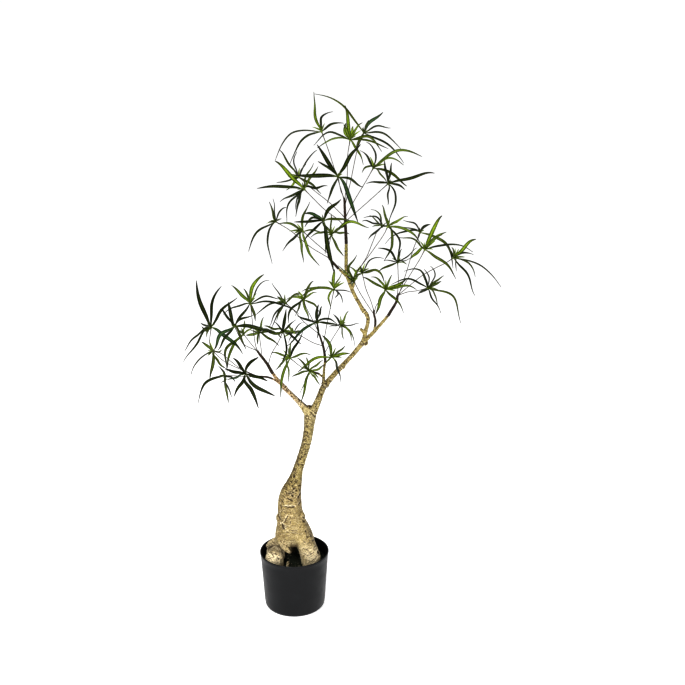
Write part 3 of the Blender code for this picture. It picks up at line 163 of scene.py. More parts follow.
# The sprays: tone, twig, hub (x, y, z), stalk from the hub down as (x, z), and leaves as
# (kind, bearing in degrees from +X, reach, bow at the middle). A kind is a tone and a roll: B bright, G green,
# D dark, T blue-green, O olive or K thin and grey, with its face turned w to the front, n half or t edge-on.
SPRAYS = {
    "top_left": ("mid", "crown", (70, 10, 1120), [(83, 1086), (113, 996), (118, 975)],
                 [("Bn", 100, 80, 8), ("Dn", 60, 50, 16), ("Dn", 25, 50, 4), ("Kt", 210, 115, -30),
                  ("Dt", 225, 95, -16)]),
    "top_middle": ("light", "crown", (130, 30, 1100), [(125, 1070), (124, 1027), (122, 976)],
                   [("Bw", 99, 70, -2), ("Bw", 105, 40, 6), ("Bn", 55, 45, 3), ("Dt", 190, 80, -24),
                    ("Gt", 190, 70, -7), ("Bn", 300, 60, 2), ("On", 345, 70, 15), ("Ot", 345, 85, 10),
                    ("Bw", 112, 34, 0), ("Bw", 78, 32, 0)]),
    "top_right": ("dark", "crown", (160, 70, 1110), [(145, 1074), (132, 1018), (119, 970)],
                  [("Ot", 140, 135, -14), ("Tw", 45, 60, 7), ("On", 70, 30, 0), ("Dt", 10, 60, 8),
                   ("Dt", 340, 85, 12), ("Dt", 325, 110, 8), ("Ow", 245, 40, -1)]),
    "crown_front": ("dark", "crown", (105, -80, 1040), [(111, 1003), (118, 980)],
                    [("Dw", 125, 75, -1), ("Dn", 140, 55, 0), ("Dw", 180, 90, -3), ("Dw", 55, 80, 3),
                     ("Dn", 335, 55, 5), ("Tw", 295, 100, 2), ("Dn", 245, 55, 1)]),
    "crown_right": ("light", "crown", (180, 30, 1040), [(164, 1014), (137, 973), (122, 943)],
                    [("On", 200, 25, -7), ("Dn", 125, 50, -3), ("Dt", 105, 60, -14), ("Gn", 15, 110, 23),
                     ("Gt", 10, 65, 14), ("On", 330, 85, 11), ("Ot", 315, 40, 2)]),
    "crown_low_right": ("dark", "crown", (210, -20, 1015), [(164, 973), (130, 943), (121, 930)],
                        [("Dn", 100, 50, 0), ("Dn", 80, 50, 0), ("Dn", 15, 100, 0), ("Dn", 340, 40, 5),
                         ("Dt", 270, 45, 0), ("Dt", 270, 80, 17), ("Dn", 175, 45, 0)]),
    "crown_left": ("dark", "crown", (35, -60, 1010), [(77, 963), (102, 942), (120, 920)],
                   [("Bw", 135, 85, -1), ("Dn", 180, 100, -7), ("Dn", 205, 55, 0), ("Dn", 250, 60, -1),
                    ("Dt", 240, 75, -13), ("Dt", 245, 45, -6), ("On", 60, 60, 0), ("Dn", 10, 50, -1),
                    ("Ot", 70, 55, 5)]),
    "crown_back": ("light", "crown", (20, 60, 1015), [(50, 993), (87, 969), (118, 945)],
                   [("Ot", 125, 75, 1), ("Dt", 65, 35, 2), ("Dt", 195, 50, 0), ("On", 325, 60, 2),
                    ("Kt", 60, 75, 2), ("Kt", 95, 60, 9), ("Bn", 225, 40, 1)]),
    "shoulder_left": ("mid", "crown_side", (-30, 0, 930), [(1, 910), (44, 873), (85, 849)],
                      [("On", 105, 45, 1), ("Kt", 95, 50, -1), ("Dt", 55, 40, 4), ("On", 25, 15, 1),
                       ("Dt", 225, 85, -10), ("Dt", 265, 90, -15), ("On", 185, 15, 0)]),
    "shoulder_low": ("light", "crown_side", (30, -30, 915), [(51, 891), (85, 854)],
                     [("Gn", 160, 55, -5), ("Gn", 75, 65, 10), ("Ot", 355, 45, 4), ("Gn", 270, 65, -2),
                      ("Gn", 295, 80, -7), ("Dn", 220, 60, 0)]),
    "shoulder_front": ("dark", "crown_side", (75, -90, 950), [(79, 897), (89, 855)],
                       [("Dw", 50, 55, 7), ("Tw", 155, 45, -3), ("Dn", 185, 60, -2), ("Dn", 225, 55, -2),
                        ("Dw", 280, 105, 0), ("On", 0, 65, 2), ("Dn", 200, 40, -14)]),
    "shoulder_right": ("light", "crown_side", (90, -40, 910), [(85, 879), (86, 854)],
                       [("Gn", 300, 50, -3), ("Bn", 10, 80, 19), ("On", 30, 35, 3), ("Gn", 5, 40, 2),
                        ("Gn", 185, 45, -6), ("Ot", 90, 50, 0), ("Ot", 250, 40, -2), ("Ow", 125, 35, 0)]),
    "inner_left": ("dark", "upper_side", (200, 40, 910), [(189, 900), (165, 849), (150, 822)],
                   [("Dt", 160, 45, -1), ("Ot", 135, 40, -1), ("Dt", 150, 45, -12), ("Ot", 120, 50, -9),
                    ("Gn", 175, 20, -3), ("Dn", 220, 40, 1)]),
    "inner_right": ("light", "upper_side", (210, -30, 925), [(201, 906), (178, 871), (152, 831)],
                    [("Gn", 105, 50, -1), ("Bn", 30, 50, 1), ("Gn", 335, 75, 12), ("Gn", 265, 75, 12),
                     ("Dt", 290, 70, 12), ("Gt", 325, 25, -1)]),
    "outer_top": ("dark", "right", (285, 50, 895), [(272, 862), (256, 805), (233, 742)],
                  [("Dt", 145, 45, -9), ("Dt", 160, 45, -1), ("Dt", 195, 80, -12), ("Dw", 40, 30, 5),
                   ("On", 315, 105, 23), ("Dn", 250, 20, 0)]),
    "outer_middle": ("light", "right", (290, -30, 875), [(281, 851), (263, 811), (234, 750)],
                     [("Bw", 65, 85, 4), ("Bw", 40, 60, 6), ("Gn", 45, 50, 3), ("Dt", 0, 105, 12),
                      ("On", 320, 90, 5), ("Bw", 215, 40, -4), ("Ot", 155, 65, -9)]),
    "outer_right": ("light", "right", (355, 0, 850), [(339, 837), (292, 806), (236, 750)],
                    [("Bw", 45, 65, 0), ("Dn", 10, 45, 8), ("On", 100, 25, -2), ("On", 120, 35, -1),
                     ("Kt", 330, 120, 16), ("Ot", 320, 65, 13), ("Dt", 300, 100, 7), ("Kt", 285, 30, 1)]),
    "outer_left": ("mid", "right", (235, 20, 835), [(238, 786), (236, 752)],
                   [("Dn", 140, 55, -7), ("Dn", 75, 35, 1), ("Kt", 40, 55, -3), ("Kt", 20, 30, -2),
                    ("Kt", 170, 30, -1), ("Gt", 350, 20, 2), ("On", 205, 45, -1)]),
    "outer_low": ("mid", "right", (300, -10, 785), [(277, 773), (258, 766), (236, 748)],
                  [("Dt", 110, 35, 0), ("Dt", 140, 70, -18), ("Kt", 100, 45, -6), ("Kt", 85, 55, -13),
                   ("On", 40, 45, 0), ("Gw", 30, 35, -1), ("Dt", 170, 80, -11), ("Dw", 210, 25, 0),
                   ("Ot", 315, 105, 24), ("Gt", 345, 35, 1), ("Dt", 300, 60, -3), ("Ot", 300, 45, 6)]),
    "fork_right": ("light", "lower_side", (156, -60, 831), [(165, 788), (176, 756), (183, 728)],
                   [("On", 340, 50, 16), ("Kt", 40, 60, 10), ("On", 10, 25, 0), ("Dn", 105, 15, 0),
                    ("On", 205, 25, 0)]),
    "fork_left": ("light", "lower_side", (138, -75, 818), [(150, 788), (167, 752), (184, 724)],
                  [("Bn", 109, 36, -11), ("Bn", 55, 20, 0), ("Gt", 250, 12, 0), ("Dt", 205, 15, 1),
                   ("Dt", 145, 20, 1), ("Bt", 135, 50, -1), ("On", 84, 54, 14)]),
    "fork_low": ("light", "lower_side", (205, -80, 800), [(195, 765), (187, 747), (185, 720)],
                 [("Gn", 70, 35, -1), ("Gn", 135, 45, -5), ("Gn", 150, 55, -1), ("Bw", 25, 50, -1),
                  ("Gn", 5, 65, 4), ("Gw", 250, 55, -2), ("On", 310, 60, 2)]),
    "far_left_top": ("dark", "left_side", (-170, -60, 710),
                     [(-173, 669), (-148, 636), (-87, 604), (-66, 597)],
                     [("Dw", 105, 105, 6), ("Dn", 75, 100, 11), ("Dn", 50, 90, 5), ("Dn", 155, 25, 1),
                      ("Tw", 320, 85, 5), ("Dt", 220, 80, -5), ("Dt", 230, 95, -1), ("On", 245, 25, -3),
                      ("Ow", 175, 20, 7)]),
    "far_left_front": ("dark", "left", (-115, -100, 725), [(-99, 674), (-71, 648)],
                       [("Dn", 125, 50, 0), ("Dw", 100, 60, 4), ("Dn", 55, 60, 1), ("Dn", 30, 50, 6),
                        ("Dw", 350, 85, 6), ("Tw", 230, 70, -10), ("Dn", 235, 65, -1), ("On", 295, 55, 1)]),
    "left_top": ("light", "left", (-90, 20, 740), [(-83, 694), (-77, 664), (-71, 648)],
                 [("Bw", 65, 75, 13), ("Gw", 135, 60, -2), ("Gn", 110, 40, 0), ("Kt", 55, 75, 8),
                  ("Dt", 10, 65, 10), ("Dt", 350, 110, 13), ("Dt", 200, 65, -5), ("Ow", 285, 40, 1)]),
    "left_inner": ("light", "left", (-70, -20, 685), [(-65, 655), (-62, 635)],
                   [("Gn", 75, 40, -1), ("Bw", 190, 30, 1), ("Gn", 260, 25, -1), ("Gw", 0, 45, 4),
                    ("On", 330, 50, -1), ("On", 160, 20, 0), ("Gn", 20, 25, 4)]),
    "left_back": ("mid", "left", (-110, 50, 660), [(-92, 653), (-70, 645)],
                  [("Bn", 85, 35, 0), ("Bn", 35, 30, 2), ("Gn", 245, 90, -12), ("On", 245, 100, -21),
                   ("Gn", 145, 15, -2), ("On", 220, 30, 1)]),
    "far_left_low": ("light", "left_side", (-175, 20, 630), [(-156, 628), (-116, 607), (-68, 598)],
                     [("Bw", 140, 35, 0), ("Bn", 175, 15, -1), ("Kt", 225, 75, -11), ("Ow", 260, 65, 1),
                      ("On", 300, 50, -4), ("Gn", 15, 20, -5)]),
    "low_left_front": ("dark", "left_side", (-95, -90, 615), [(-82, 604), (-68, 598)],
                       [("Dw", 125, 45, -1), ("Dw", 55, 50, 6), ("Dw", 165, 45, 2), ("Tn", 200, 45, 1),
                        ("Dw", 240, 55, 3), ("Dw", 290, 80, -3), ("Dw", 320, 80, -9), ("Dw", 340, 50, 1)]),
    "low_left": ("dark", "left_side", (-150, 10, 575), [(-126, 582), (-92, 590), (-66, 597)],
                 [("Dn", 225, 90, -21), ("Dn", 125, 30, -2), ("Dn", 325, 25, 4), ("On", 275, 70, -3),
                  ("Dt", 285, 50, -3), ("On", 235, 20, 6)]),
    "left_front": ("dark", "left", (-15, -60, 700), [(-26, 674), (-42, 644), (-52, 618)],
                   [("Dw", 80, 50, 1), ("Dn", 45, 40, 0), ("Dt", 125, 30, 0), ("On", 160, 45, 0),
                    ("Dt", 265, 75, 9), ("Dn", 325, 50, 2), ("Gw", 180, 30, 4), ("On", 260, 15, -7),
                    ("Gn", 5, 30, -1)]),
    "middle_back": ("light", "middle", (5, 30, 670), [(21, 666), (48, 656), (70, 655)],
                    [("On", 120, 25, 1), ("Kt", 50, 35, 4), ("Kt", 240, 25, -1), ("Gw", 10, 20, 1),
                     ("Gn", 185, 20, 2)]),
    "middle_left": ("mid", "middle", (-10, -10, 750), [(5, 737), (27, 711), (63, 678)],
                    [("Gw", 140, 25, 0), ("Kt", 120, 60, 3), ("Dt", 200, 70, -10), ("Dt", 235, 70, -5),
                     ("Kt", 240, 70, -4), ("Gn", 240, 45, -2), ("On", 40, 40, 2)]),
    "middle_top": ("light", "middle", (30, -20, 760), [(34, 745), (49, 713), (63, 676)],
                   [("On", 65, 50, 4), ("Bn", 35, 35, 3), ("Bn", 175, 40, -6), ("Dt", 160, 25, -10),
                    ("On", 325, 40, 4), ("Bn", 285, 45, -2), ("Dn", 235, 60, -11), ("On", 240, 40, -1)]),
    "middle_front": ("dark", "middle", (60, -70, 725), [(62, 693), (64, 678)],
                     [("Dw", 85, 40, 4), ("Dn", 75, 40, 0), ("Dn", 160, 45, 3), ("Tn", 220, 90, -5),
                      ("Dn", 270, 35, 1), ("Dn", 355, 45, 9), ("Dn", 350, 50, 2)]),
    "low_middle_left": ("light", "middle_side", (0, -60, 640), [(24, 612), (46, 597)],
                        [("Bn", 160, 45, -1), ("Dn", 65, 70, 0), ("Gn", 15, 45, 2), ("Gn", 220, 45, -2),
                         ("Gn", 255, 95, -4), ("Gt", 265, 55, -1), ("Gn", 85, 40, 3)]),
    "low_middle": ("light", "middle_side", (42, -62, 612), [(46, 598)],
                   [("On", 130, 40, 0), ("Bn", 100, 35, 0), ("Gn", 200, 40, -2), ("Bn", 40, 40, 0),
                    ("Bn", 25, 35, -5), ("Bn", 305, 40, 0), ("Gn", 255, 80, 0), ("Gt", 245, 55, 4),
                    ("Bn", 320, 25, 1)]),
    "low_middle_right": ("light", "middle", (90, -50, 640), [(84, 632), (74, 625)],
                         [("Gw", 110, 55, -5), ("Gn", 40, 40, -1), ("Bw", 10, 40, 2), ("Dn", 290, 60, 3),
                          ("Bn", 205, 80, -11), ("Bn", 230, 20, 0)]),
    "inside_low": ("mid", "middle", (110, 20, 690), [(91, 663), (73, 638)],
                   [("Bn", 65, 40, -1), ("Dn", 120, 35, -1), ("Kt", 10, 40, -3), ("Ot", 280, 35, 0),
                    ("Bn", 305, 40, 8), ("Ot", 305, 55, 10), ("Dt", 180, 25, 1)]),
    "inside_top": ("light", "middle", (95, 30, 770), [(84, 718), (77, 686), (71, 652)],
                   [("Bw", 90, 50, 1), ("Ot", 65, 45, 1), ("Gt", 180, 70, -6), ("Gn", 190, 80, -9),
                    ("Bn", 260, 40, -8), ("Dn", 275, 20, 8), ("Kt", 305, 35, 4), ("Kt", 350, 45, 2)]),
}

# The way the leaves grow, as in the frame.
WIDEST_BLADE = 8.2
NARROWEST_BLADE = 4.6
BLADE_WIDENING = 0.038
THIN_SHARE = 0.75
LONG_BLADE = [(0.0, 0.15), (0.22, 0.72), (0.5, 1.0), (0.8, 0.76), (1.0, 0.0)]
SHORT_BLADE = [(0.0, 0.15), (0.3, 0.84), (0.7, 0.9), (1.0, 0.0)]
LONG_REACH = 70
SHORTEST_LEAF = 52.0
LENGTH_PER_REACH = 0.45
LEAST_STRETCH = 1.06
LEAN_AT_MIDDLE = 0.58
LEAST_FORWARD = 0.15            # no leaf starts back along its stalk
ROLL = {"w": (10, 30), "n": (38, 60), "t": (54, 72)}    # degrees at a leaf's foot and at its tip
LEANS = (1.0, -1.0, 0.75, -0.75, 1.2, -1.2, 0.5, -0.5, 0.3, -0.3, 0.12, -0.12)
HUB_RADIUS = 3.0
HUB_BACK = 3.0
STALK_RADIUS = 0.8
FINE_STALK_RADIUS = 0.72
STALK_STEP = 30.0
STALK_BULGES = (0.0, 9.0, -9.0, 18.0, -18.0, 27.0, -27.0)
CLEARANCE = 0.7
STALK_CLEARANCE = 1.7
CHECK_STEP = 3.0
NEIGHBOURHOOD = 260.0           # within this of a hub, a stalk is kept clear of what stands there
LEAF_NEIGHBOURHOOD = 90.0       # the same for a leaf, beyond its own reach
TWIG_STEP = 10.0

# The fine leaf: its outline as (share of length, share of width) and its section as (share of the half width,
# share of the thickness above or below the blade's middle).
OUTLINE = [(0.0, 0.17), (0.08, 0.42), (0.16, 0.64), (0.28, 0.86), (0.4, 0.98), (0.47, 1.0), (0.58, 0.95),
           (0.68, 0.84), (0.78, 0.67), (0.87, 0.48), (0.94, 0.32), (1.0, 0.12)]
SECTION = [(-1, 0.0), (-0.62, 0.5), (-0.22, 0.42), (0, 0.1), (0.22, 0.42), (0.62, 0.5), (1, 0.0),
           (0.6, -0.5), (0.16, -0.6), (0, -1.3), (-0.16, -0.6), (-0.6, -0.5)]
UNDERSIDE = 7                   # the section's points from this one on lie under the leaf
VEINS = 22.0                    # how closely the veins lie across a half blade
LEAF_TONES = {"B": "bright", "G": "green", "D": "dark", "T": "bluish", "O": "olive", "K": "grey"}
BUD_TONES = {"light": "BBG", "mid": "BGGO", "dark": "GODD"}   # what the leaf tones of a bud are drawn from
YOUNG_LEAVES = 6                # newly opened round each bud
YOUNG_TURN = 2.4                # radians from one young leaf to the next
YOUNG_LENGTHS = {"light": (12, 28), "mid": (9, 21), "dark": (7, 15)}
YOUNG_ROLL = (30, 30)
YOUNG_FOLD = 1.6                # how much more a young leaf is folded
BUD_OUTLINE = [(-3, 1.0), (-2.2, 1.5), (-1, 2.1), (0.3, 2.5), (1.6, 2.2), (2.8, 1.3), (3.5, 0.4)]
FIRST_SEED = 100                # each spray draws its small chances from a seed of its own

# The soft lights in metres: where each stands, what it looks at and its size.
LIGHTS = {
    "key": ((-1.2, -2.4, 2.6), (0.05, 0, 0.6), 1.2),
    "fill": ((1.0, -2.7, 0.9), (0, 0, 0.25), 1.0),
    "top": ((0.2, 0.2, 3.0), (0.05, 0, 0.5), 1.4),
}


def length(name, description, default):
    """A size in metres that the user may change."""
    return FloatProperty(name=name, description=description, default=default, unit="LENGTH", precision=5)


def colour(name, description, default):
    """A linear colour that the user may change."""
    return FloatVectorProperty(name=name, description=description, default=default, subtype="COLOR", min=0, max=1)


class PotSettings(bpy.types.PropertyGroup):
    """The pot's sizes and finish."""
    height: length("Height", "From the ground to the rim's top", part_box("pot")[1].z)
    rim_radius: length("Rim radius", "Outer radius of the rim band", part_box("pot")[1].x)
    base_radius: length("Base radius", "Outer radius above the rounded bottom edge", 0.071)
    corner: length("Bottom edge", "Radius of the rounded bottom edge", 0.008)
    wall: length("Wall", "Thickness of the moulded wall", 0.0022)
    band: length("Rim band", "Height of the raised rim band", 0.007)
    step: length("Band step", "How far the rim band stands out", 0.0008)
    sides: IntProperty(name="Sides", description="Faces round the pot", default=144)
    plastic: colour("Plastic", "The black plastic", (0.0105, 0.011, 0.0125))
    roughness: FloatProperty(name="Roughness", description="Of the satin plastic", default=0.36)


class SoilSettings(bpy.types.PropertyGroup):
    """The filling and its grains."""
    top: length("Edge height", "Height of the soil at the wall", 0.112)
    dome: length("Dome", "How far the middle stands above the edge", 0.004)
    rough: length("Unevenness", "How far the surface rises and falls", 0.0016)
    grains: IntProperty(name="Grains", description="Loose grains on the surface", default=420)
    grain_size: length("Grain size", "Radius of the largest grain", 0.0026)
    earth: colour("Earth", "The damp filling", (0.030, 0.036, 0.024))
    grit: colour("Grit", "The lightest grains", (0.22, 0.20, 0.15))


class BarkSettings(bpy.types.PropertyGroup):
    """The trunk's grid, relief and colours."""
    cell: length("Grid", "Size of the grid that the relief is made on", 0.00115)
    lumps: length("Lumps", "Height of the broad swellings", 0.0007)
    pits: length("Pits", "Depth of the small pits", 0.0012)
    wrinkles: length("Wrinkles", "Height of the fine wrinkles across the roots", 0.00042)
    gold: colour("Gold", "The main colour of the bark", (0.44, 0.355, 0.17))
    # Pale also paints the highlights on the bark.
    pale: colour("Pale", "Worn crests", (0.84, 0.74, 0.53))
    umber: colour("Umber", "Darker patches", (0.175, 0.12, 0.05))
    # Scar also paints the shade in the furrows, under the arch and on the stem's left side.
    scar_and_shade: colour("Scar", "Pits, cracks and scars", (0.055, 0.034, 0.015))
    rust: colour("Rust", "The left limb's orange brown", (0.36, 0.21, 0.085))
    young: colour("Young", "The upper limbs' yellow-green bark", (0.36, 0.325, 0.09))


class TwigSettings(bpy.types.PropertyGroup):
    """Twigs and the thin stalks on them."""
    sides: IntProperty(name="Sides", description="Faces round a twig", default=12)
    stalk_sides: IntProperty(name="Stalk sides", description="Faces round a stalk", default=7)
    wood: colour("Wood", "The twigs", (0.052, 0.035, 0.018))
    knot: colour("Knots", "Darker rings and knots on the twigs", (0.014, 0.009, 0.006))
    stalk: colour("Stalk", "The wire-like stalks", (0.075, 0.07, 0.06))


class LeafSettings(bpy.types.PropertyGroup):
    """The leaves' section and colours."""
    thickness: length("Thickness", "Of the blade's halves", 0.0006)
    breadth: FloatProperty(name="Breadth", description="Width of a blade against the frame's", default=1.12)
    fold: FloatProperty(name="Fold", description="How far each half of a blade is lifted",
                        default=math.radians(17), subtype="ANGLE")
    twist: FloatProperty(name="Twist", description="The most that a blade turns along its length",
                         default=math.radians(26), subtype="ANGLE")
    sway: length("Sway", "How far a blade weaves to the sides of its line", 0.0016)
    droop: length("Droop", "The most that a tip hangs down or turns up", 0.006)
    bright: colour("Bright", "Young yellow-green leaves", (0.19, 0.27, 0.026))
    green: colour("Green", "Full green leaves", (0.12, 0.175, 0.024))
    dark: colour("Dark", "Old, nearly black leaves", (0.018, 0.030, 0.005))
    bluish: colour("Bluish", "Blue-green leaves", (0.042, 0.085, 0.033))
    olive: colour("Olive", "Olive leaves", (0.085, 0.118, 0.013))
    grey: colour("Grey", "Thin grey leaves", (0.035, 0.042, 0.022))
    foot: colour("Foot", "The pale foot of every leaf", (0.18, 0.22, 0.075))
    tip: colour("Tip", "The dark tip of every leaf", (0.020, 0.021, 0.012))


class StageSettings(bpy.types.PropertyGroup):
    """The camera, the lights and the floor."""
    focal: FloatProperty(name="Focal length", description="In widths of the picture", default=1100 / 685)
    pitch: FloatProperty(name="Pitch", description="How far the camera looks down", default=math.radians(17.915),
                         subtype="ANGLE")
    floor: colour("Floor", "Floor and backdrop", (0.60, 0.60, 0.60))
    glow: FloatProperty(name="Glow", description="How strongly the floor and backdrop are lit from behind",
                        default=0.72)
    key: FloatProperty(name="Key light", description="Power of the soft light from the left",
                       default=112, unit="POWER")
    fill: FloatProperty(name="Fill light", description="Power of the low light from the right",
                        default=42, unit="POWER")
    top: FloatProperty(name="Top light", description="Power of the light above", default=40, unit="POWER")
    depth: FloatProperty(name="Depth", description="Gamma of the picture; under 1 deepens its mid tones",
                         default=0.62)
    sky: FloatProperty(name="Surroundings", description="How strongly the white room lights the tree",
                       default=0.2)
    distance: FloatProperty(name="Distance", description="How bright the room looks beyond the floor",
                            default=0.9)


SETTINGS = {"pot": PotSettings, "soil": SoilSettings, "bark": BarkSettings, "twig": TwigSettings,
            "leaf": LeafSettings, "stage": StageSettings}


def settings(group):
    """The user's values of that group."""
    return getattr(bpy.context.scene, "bottle_tree_" + group)


def in_mm(metres):
    """A length of the settings in the tree's own unit."""
    return metres / MM


def add_object(name, points, faces, finishes=()):
    """A mesh object from points in millimetres and faces that all turn the same way, made to face outward."""
    mesh = bpy.data.meshes.new(name)
    mesh.from_pydata([tuple(float(value) * MM for value in point) for point in points], [], faces)
    work = bmesh.new()
    work.from_mesh(mesh)
    if work.calc_volume(signed=True) < 0:
        bmesh.ops.reverse_faces(work, faces=work.faces)
    work.to_mesh(mesh)
    work.free()
    item = bpy.data.objects.new(name, mesh)
    bpy.context.scene.collection.objects.link(item)
    for finish in finishes:
        mesh.materials.append(finish)
    return item


def applied(item):
    """Put the evaluated mesh in place of the object's mesh and its modifiers."""
    bpy.context.view_layer.update()
    graph = bpy.context.evaluated_depsgraph_get()
    mesh = bpy.data.meshes.new_from_object(item.evaluated_get(graph))
    item.modifiers.clear()
    item.data = mesh
    return item


def joined(name, items):
    """Several objects as one, each part of it still a closed shell of its own."""
    bpy.context.view_layer.update()
    with bpy.context.temp_override(active_object=items[0], selected_editable_objects=items):
        bpy.ops.object.join()
    items[0].name = name
    return items[0]


def set_attribute(item, name, values):
    """Keep one number for each point of the mesh, for its finish to read."""
    layer = item.data.attributes.new(name, "FLOAT", "POINT")
    layer.data.foreach_set("value", np.asarray(values, np.float32))


def smooth(item, angle):
    """Round shading, with edges sharper than the angle left sharp."""
    item.data.shade_smooth()
    item.data.set_sharp_from_angle(angle=math.radians(angle))


def dress(item, node):
    """Hand a finished piece over: it rides on the tree and stands for its node."""
    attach(item, "root")
    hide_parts(node)


def smooth_route(points, step):
    """Points about a step apart on the smooth curve (Catmull-Rom) through the given ones."""
    points = np.asarray(points, float)
    padded = np.vstack([2 * points[0] - points[1], points, 2 * points[-1] - points[-2]])
    route = [points[0]]
    for index in range(len(points) - 1):
        a, b, c, d = padded[index:index + 4]
        count = max(1, round(np.linalg.norm((c - b)[:3]) / step))
        for t in (np.arange(count) + 1) / count:
            route.append(0.5 * (2 * b + (c - a) * t + (2 * a - 5 * b + 4 * c - d) * t ** 2
                                + (3 * b - a - 3 * c + d) * t ** 3))
    return np.array(route)


def along(route):
    """The unit direction at each point of a route."""
    ahead = np.gradient(np.asarray(route)[:, :3], axis=0)
    return ahead / np.linalg.norm(ahead, axis=1, keepdims=True)


def rings_to_solid(name, rings, finishes=(), point=None):
    """A closed solid through equal rings, ending flat, or in a point where one is given."""
    sides = len(rings[0])
    points = [corner for ring in rings for corner in ring]
    faces = [tuple(range(sides))]
    for row in range(len(rings) - 1):
        low, high = row * sides, (row + 1) * sides
        for side in range(sides):
            after = (side + 1) % sides
            faces.append((low + side, high + side, high + after))
            faces.append((low + side, high + after, low + after))
    last = (len(rings) - 1) * sides
    if point is None:
        faces.append(tuple(last + side for side in reversed(range(sides))))
    else:
        points.append(point)
        faces += [(last + (side + 1) % sides, last + side, len(points) - 1) for side in range(sides)]
    return add_object(name, points, faces, finishes)


def tube(name, route, sides, finishes=(), point=None):
    """A round tube along (x, y, z, radius) points, with flat ends square to it or its last end in a point."""
    route = np.asarray(route, float)
    ahead = along(route)
    across = np.cross(ahead[0], (0.3, 1.0, 0.2))
    rings = []
    for row, way in zip(route, ahead):
        across = across - way * np.dot(across, way)
        across /= np.linalg.norm(across)
        up = np.cross(way, across)
        rings.append([row[:3] + row[3] * (math.cos(turn) * across + math.sin(turn) * up)
                      for turn in np.arange(sides) * 2 * math.pi / sides])
    return rings_to_solid(name, rings, finishes, point)


def ball(name, place, radius, detail):
    """A faceted ball, finer with more detail."""
    work = bmesh.new()
    bmesh.ops.create_icosphere(work, subdivisions=detail, radius=radius)
    points = [np.array(vertex.co) + place for vertex in work.verts]
    faces = [tuple(vertex.index for vertex in face.verts) for face in work.faces]
    work.free()
    return add_object(name, points, faces)


def turned(name, profile, sides, finishes=()):
    """A solid turned about Z from a closed (radius, height) outline, whose ends may lie on the axis."""
    points, rings = [], []
    for radius, height in profile:
        count = sides if radius > 0 else 1
        rings.append(list(range(len(points), len(points) + count)))
        for turn in np.arange(count) * 2 * math.pi / sides:
            points.append((radius * math.cos(turn), radius * math.sin(turn), height))
    faces = []
    for low, high in zip(rings, rings[1:]):
        for side in range(sides):
            corners = [low[side % len(low)], low[(side + 1) % len(low)]]
            corners += [high[(side + 1) % len(high)], high[side % len(high)]]
            faces.append(tuple(dict.fromkeys(corners)))
    return add_object(name, points, faces, finishes)


def arc(radius, height, size, start, end, steps):
    """Outline points on an arc about (radius, height), with the angles in degrees from outward."""
    turns = np.radians(np.linspace(start, end, steps + 1))
    return [(radius + size * math.cos(turn), height + size * math.sin(turn)) for turn in turns]


class Finish:
    """A Principled material that is built up node by node."""

    def __init__(self, name, roughness, specular=0.5):
        self.material = bpy.data.materials.new(name)
        self.material.use_nodes = True
        self.tree = self.material.node_tree
        self.shader = self.tree.nodes["Principled BSDF"]
        self.shader.inputs["Roughness"].default_value = roughness
        self.shader.inputs["Specular IOR Level"].default_value = specular
        self.place = self.add("ShaderNodeTexCoord").outputs["Object"]

    def add(self, kind, inputs=None, **values):
        """A new node with its properties and its sockets' numbers or links."""
        node = self.tree.nodes.new(kind)
        for key, value in values.items():
            setattr(node, key, value)
        for key, value in (inputs or {}).items():
            if isinstance(value, bpy.types.NodeSocket):
                self.tree.links.new(value, node.inputs[key])
            else:
                node.inputs[key].default_value = value
        return node

    def attribute(self, name):
        """A number that each point of the mesh holds."""
        return self.add("ShaderNodeAttribute", attribute_name=name).outputs["Fac"]

    def ramp(self, value, low, high, to_low=0.0, to_high=1.0):
        """The value carried from one range to another, kept within it, with soft ends."""
        inputs = {"Value": value, "From Min": low, "From Max": high, "To Min": to_low, "To Max": to_high}
        return self.add("ShaderNodeMapRange", inputs, interpolation_type="SMOOTHSTEP").outputs["Result"]

    def speckle(self, scale, detail=2.0, stretch=(1, 1, 1), start=0.0):
        """Noise between 0 and 1, with the scale in specks for each metre and a start that sets it apart."""
        inputs = {"Vector": self.place, "Scale": stretch, "Location": (start, start, start)}
        place = self.add("ShaderNodeMapping", inputs).outputs["Vector"]
        return self.add("ShaderNodeTexNoise", {"Vector": place, "Scale": scale, "Detail": detail}).outputs["Fac"]

    def mix(self, share, first, second):
        """A colour between two, each of which is a colour or an output."""
        node = self.add("ShaderNodeMix", data_type="RGBA")
        for socket, value in zip((node.inputs[0], node.inputs[6], node.inputs[7]), (share, first, second)):
            if isinstance(value, bpy.types.NodeSocket):
                self.tree.links.new(value, socket)
            elif socket == node.inputs[0]:
                socket.default_value = value
            else:
                socket.default_value = (*value[:3], 1.0)
        return node.outputs[2]

    def maths(self, operation, first, second=0.0):
        """A sum, product or the like of two numbers or outputs."""
        return self.add("ShaderNodeMath", {0: first, 1: second}, operation=operation).outputs[0]

    def paint(self, tint):
        """The colour that shows."""
        self.tree.links.new(tint, self.shader.inputs["Base Color"])

    def rough(self, value):
        """A roughness that changes over the surface."""
        self.tree.links.new(value, self.shader.inputs["Roughness"])

    def bump(self, height, distance):
        """Fine relief, with its height in metres."""
        node = self.add("ShaderNodeBump", {"Height": height, "Distance": distance, "Strength": 1.0})
        self.tree.links.new(node.outputs["Normal"], self.shader.inputs["Normal"])


def plastic_finish():
    """Satin black moulded plastic with a fine sand grain and a little dust."""
    values = settings("pot")
    finish = Finish("Black pot plastic", values.roughness, 0.5)
    dust = finish.ramp(finish.speckle(28, 4), 0.45, 0.8, 0.0, 0.35)
    finish.paint(finish.mix(dust, values.plastic, [2.2 * part for part in values.plastic]))
    finish.rough(finish.ramp(finish.speckle(60, 3), 0.2, 0.8, values.roughness - 0.05, values.roughness + 0.08))
    finish.bump(finish.speckle(1400, 2), 0.00006)
    return finish.material


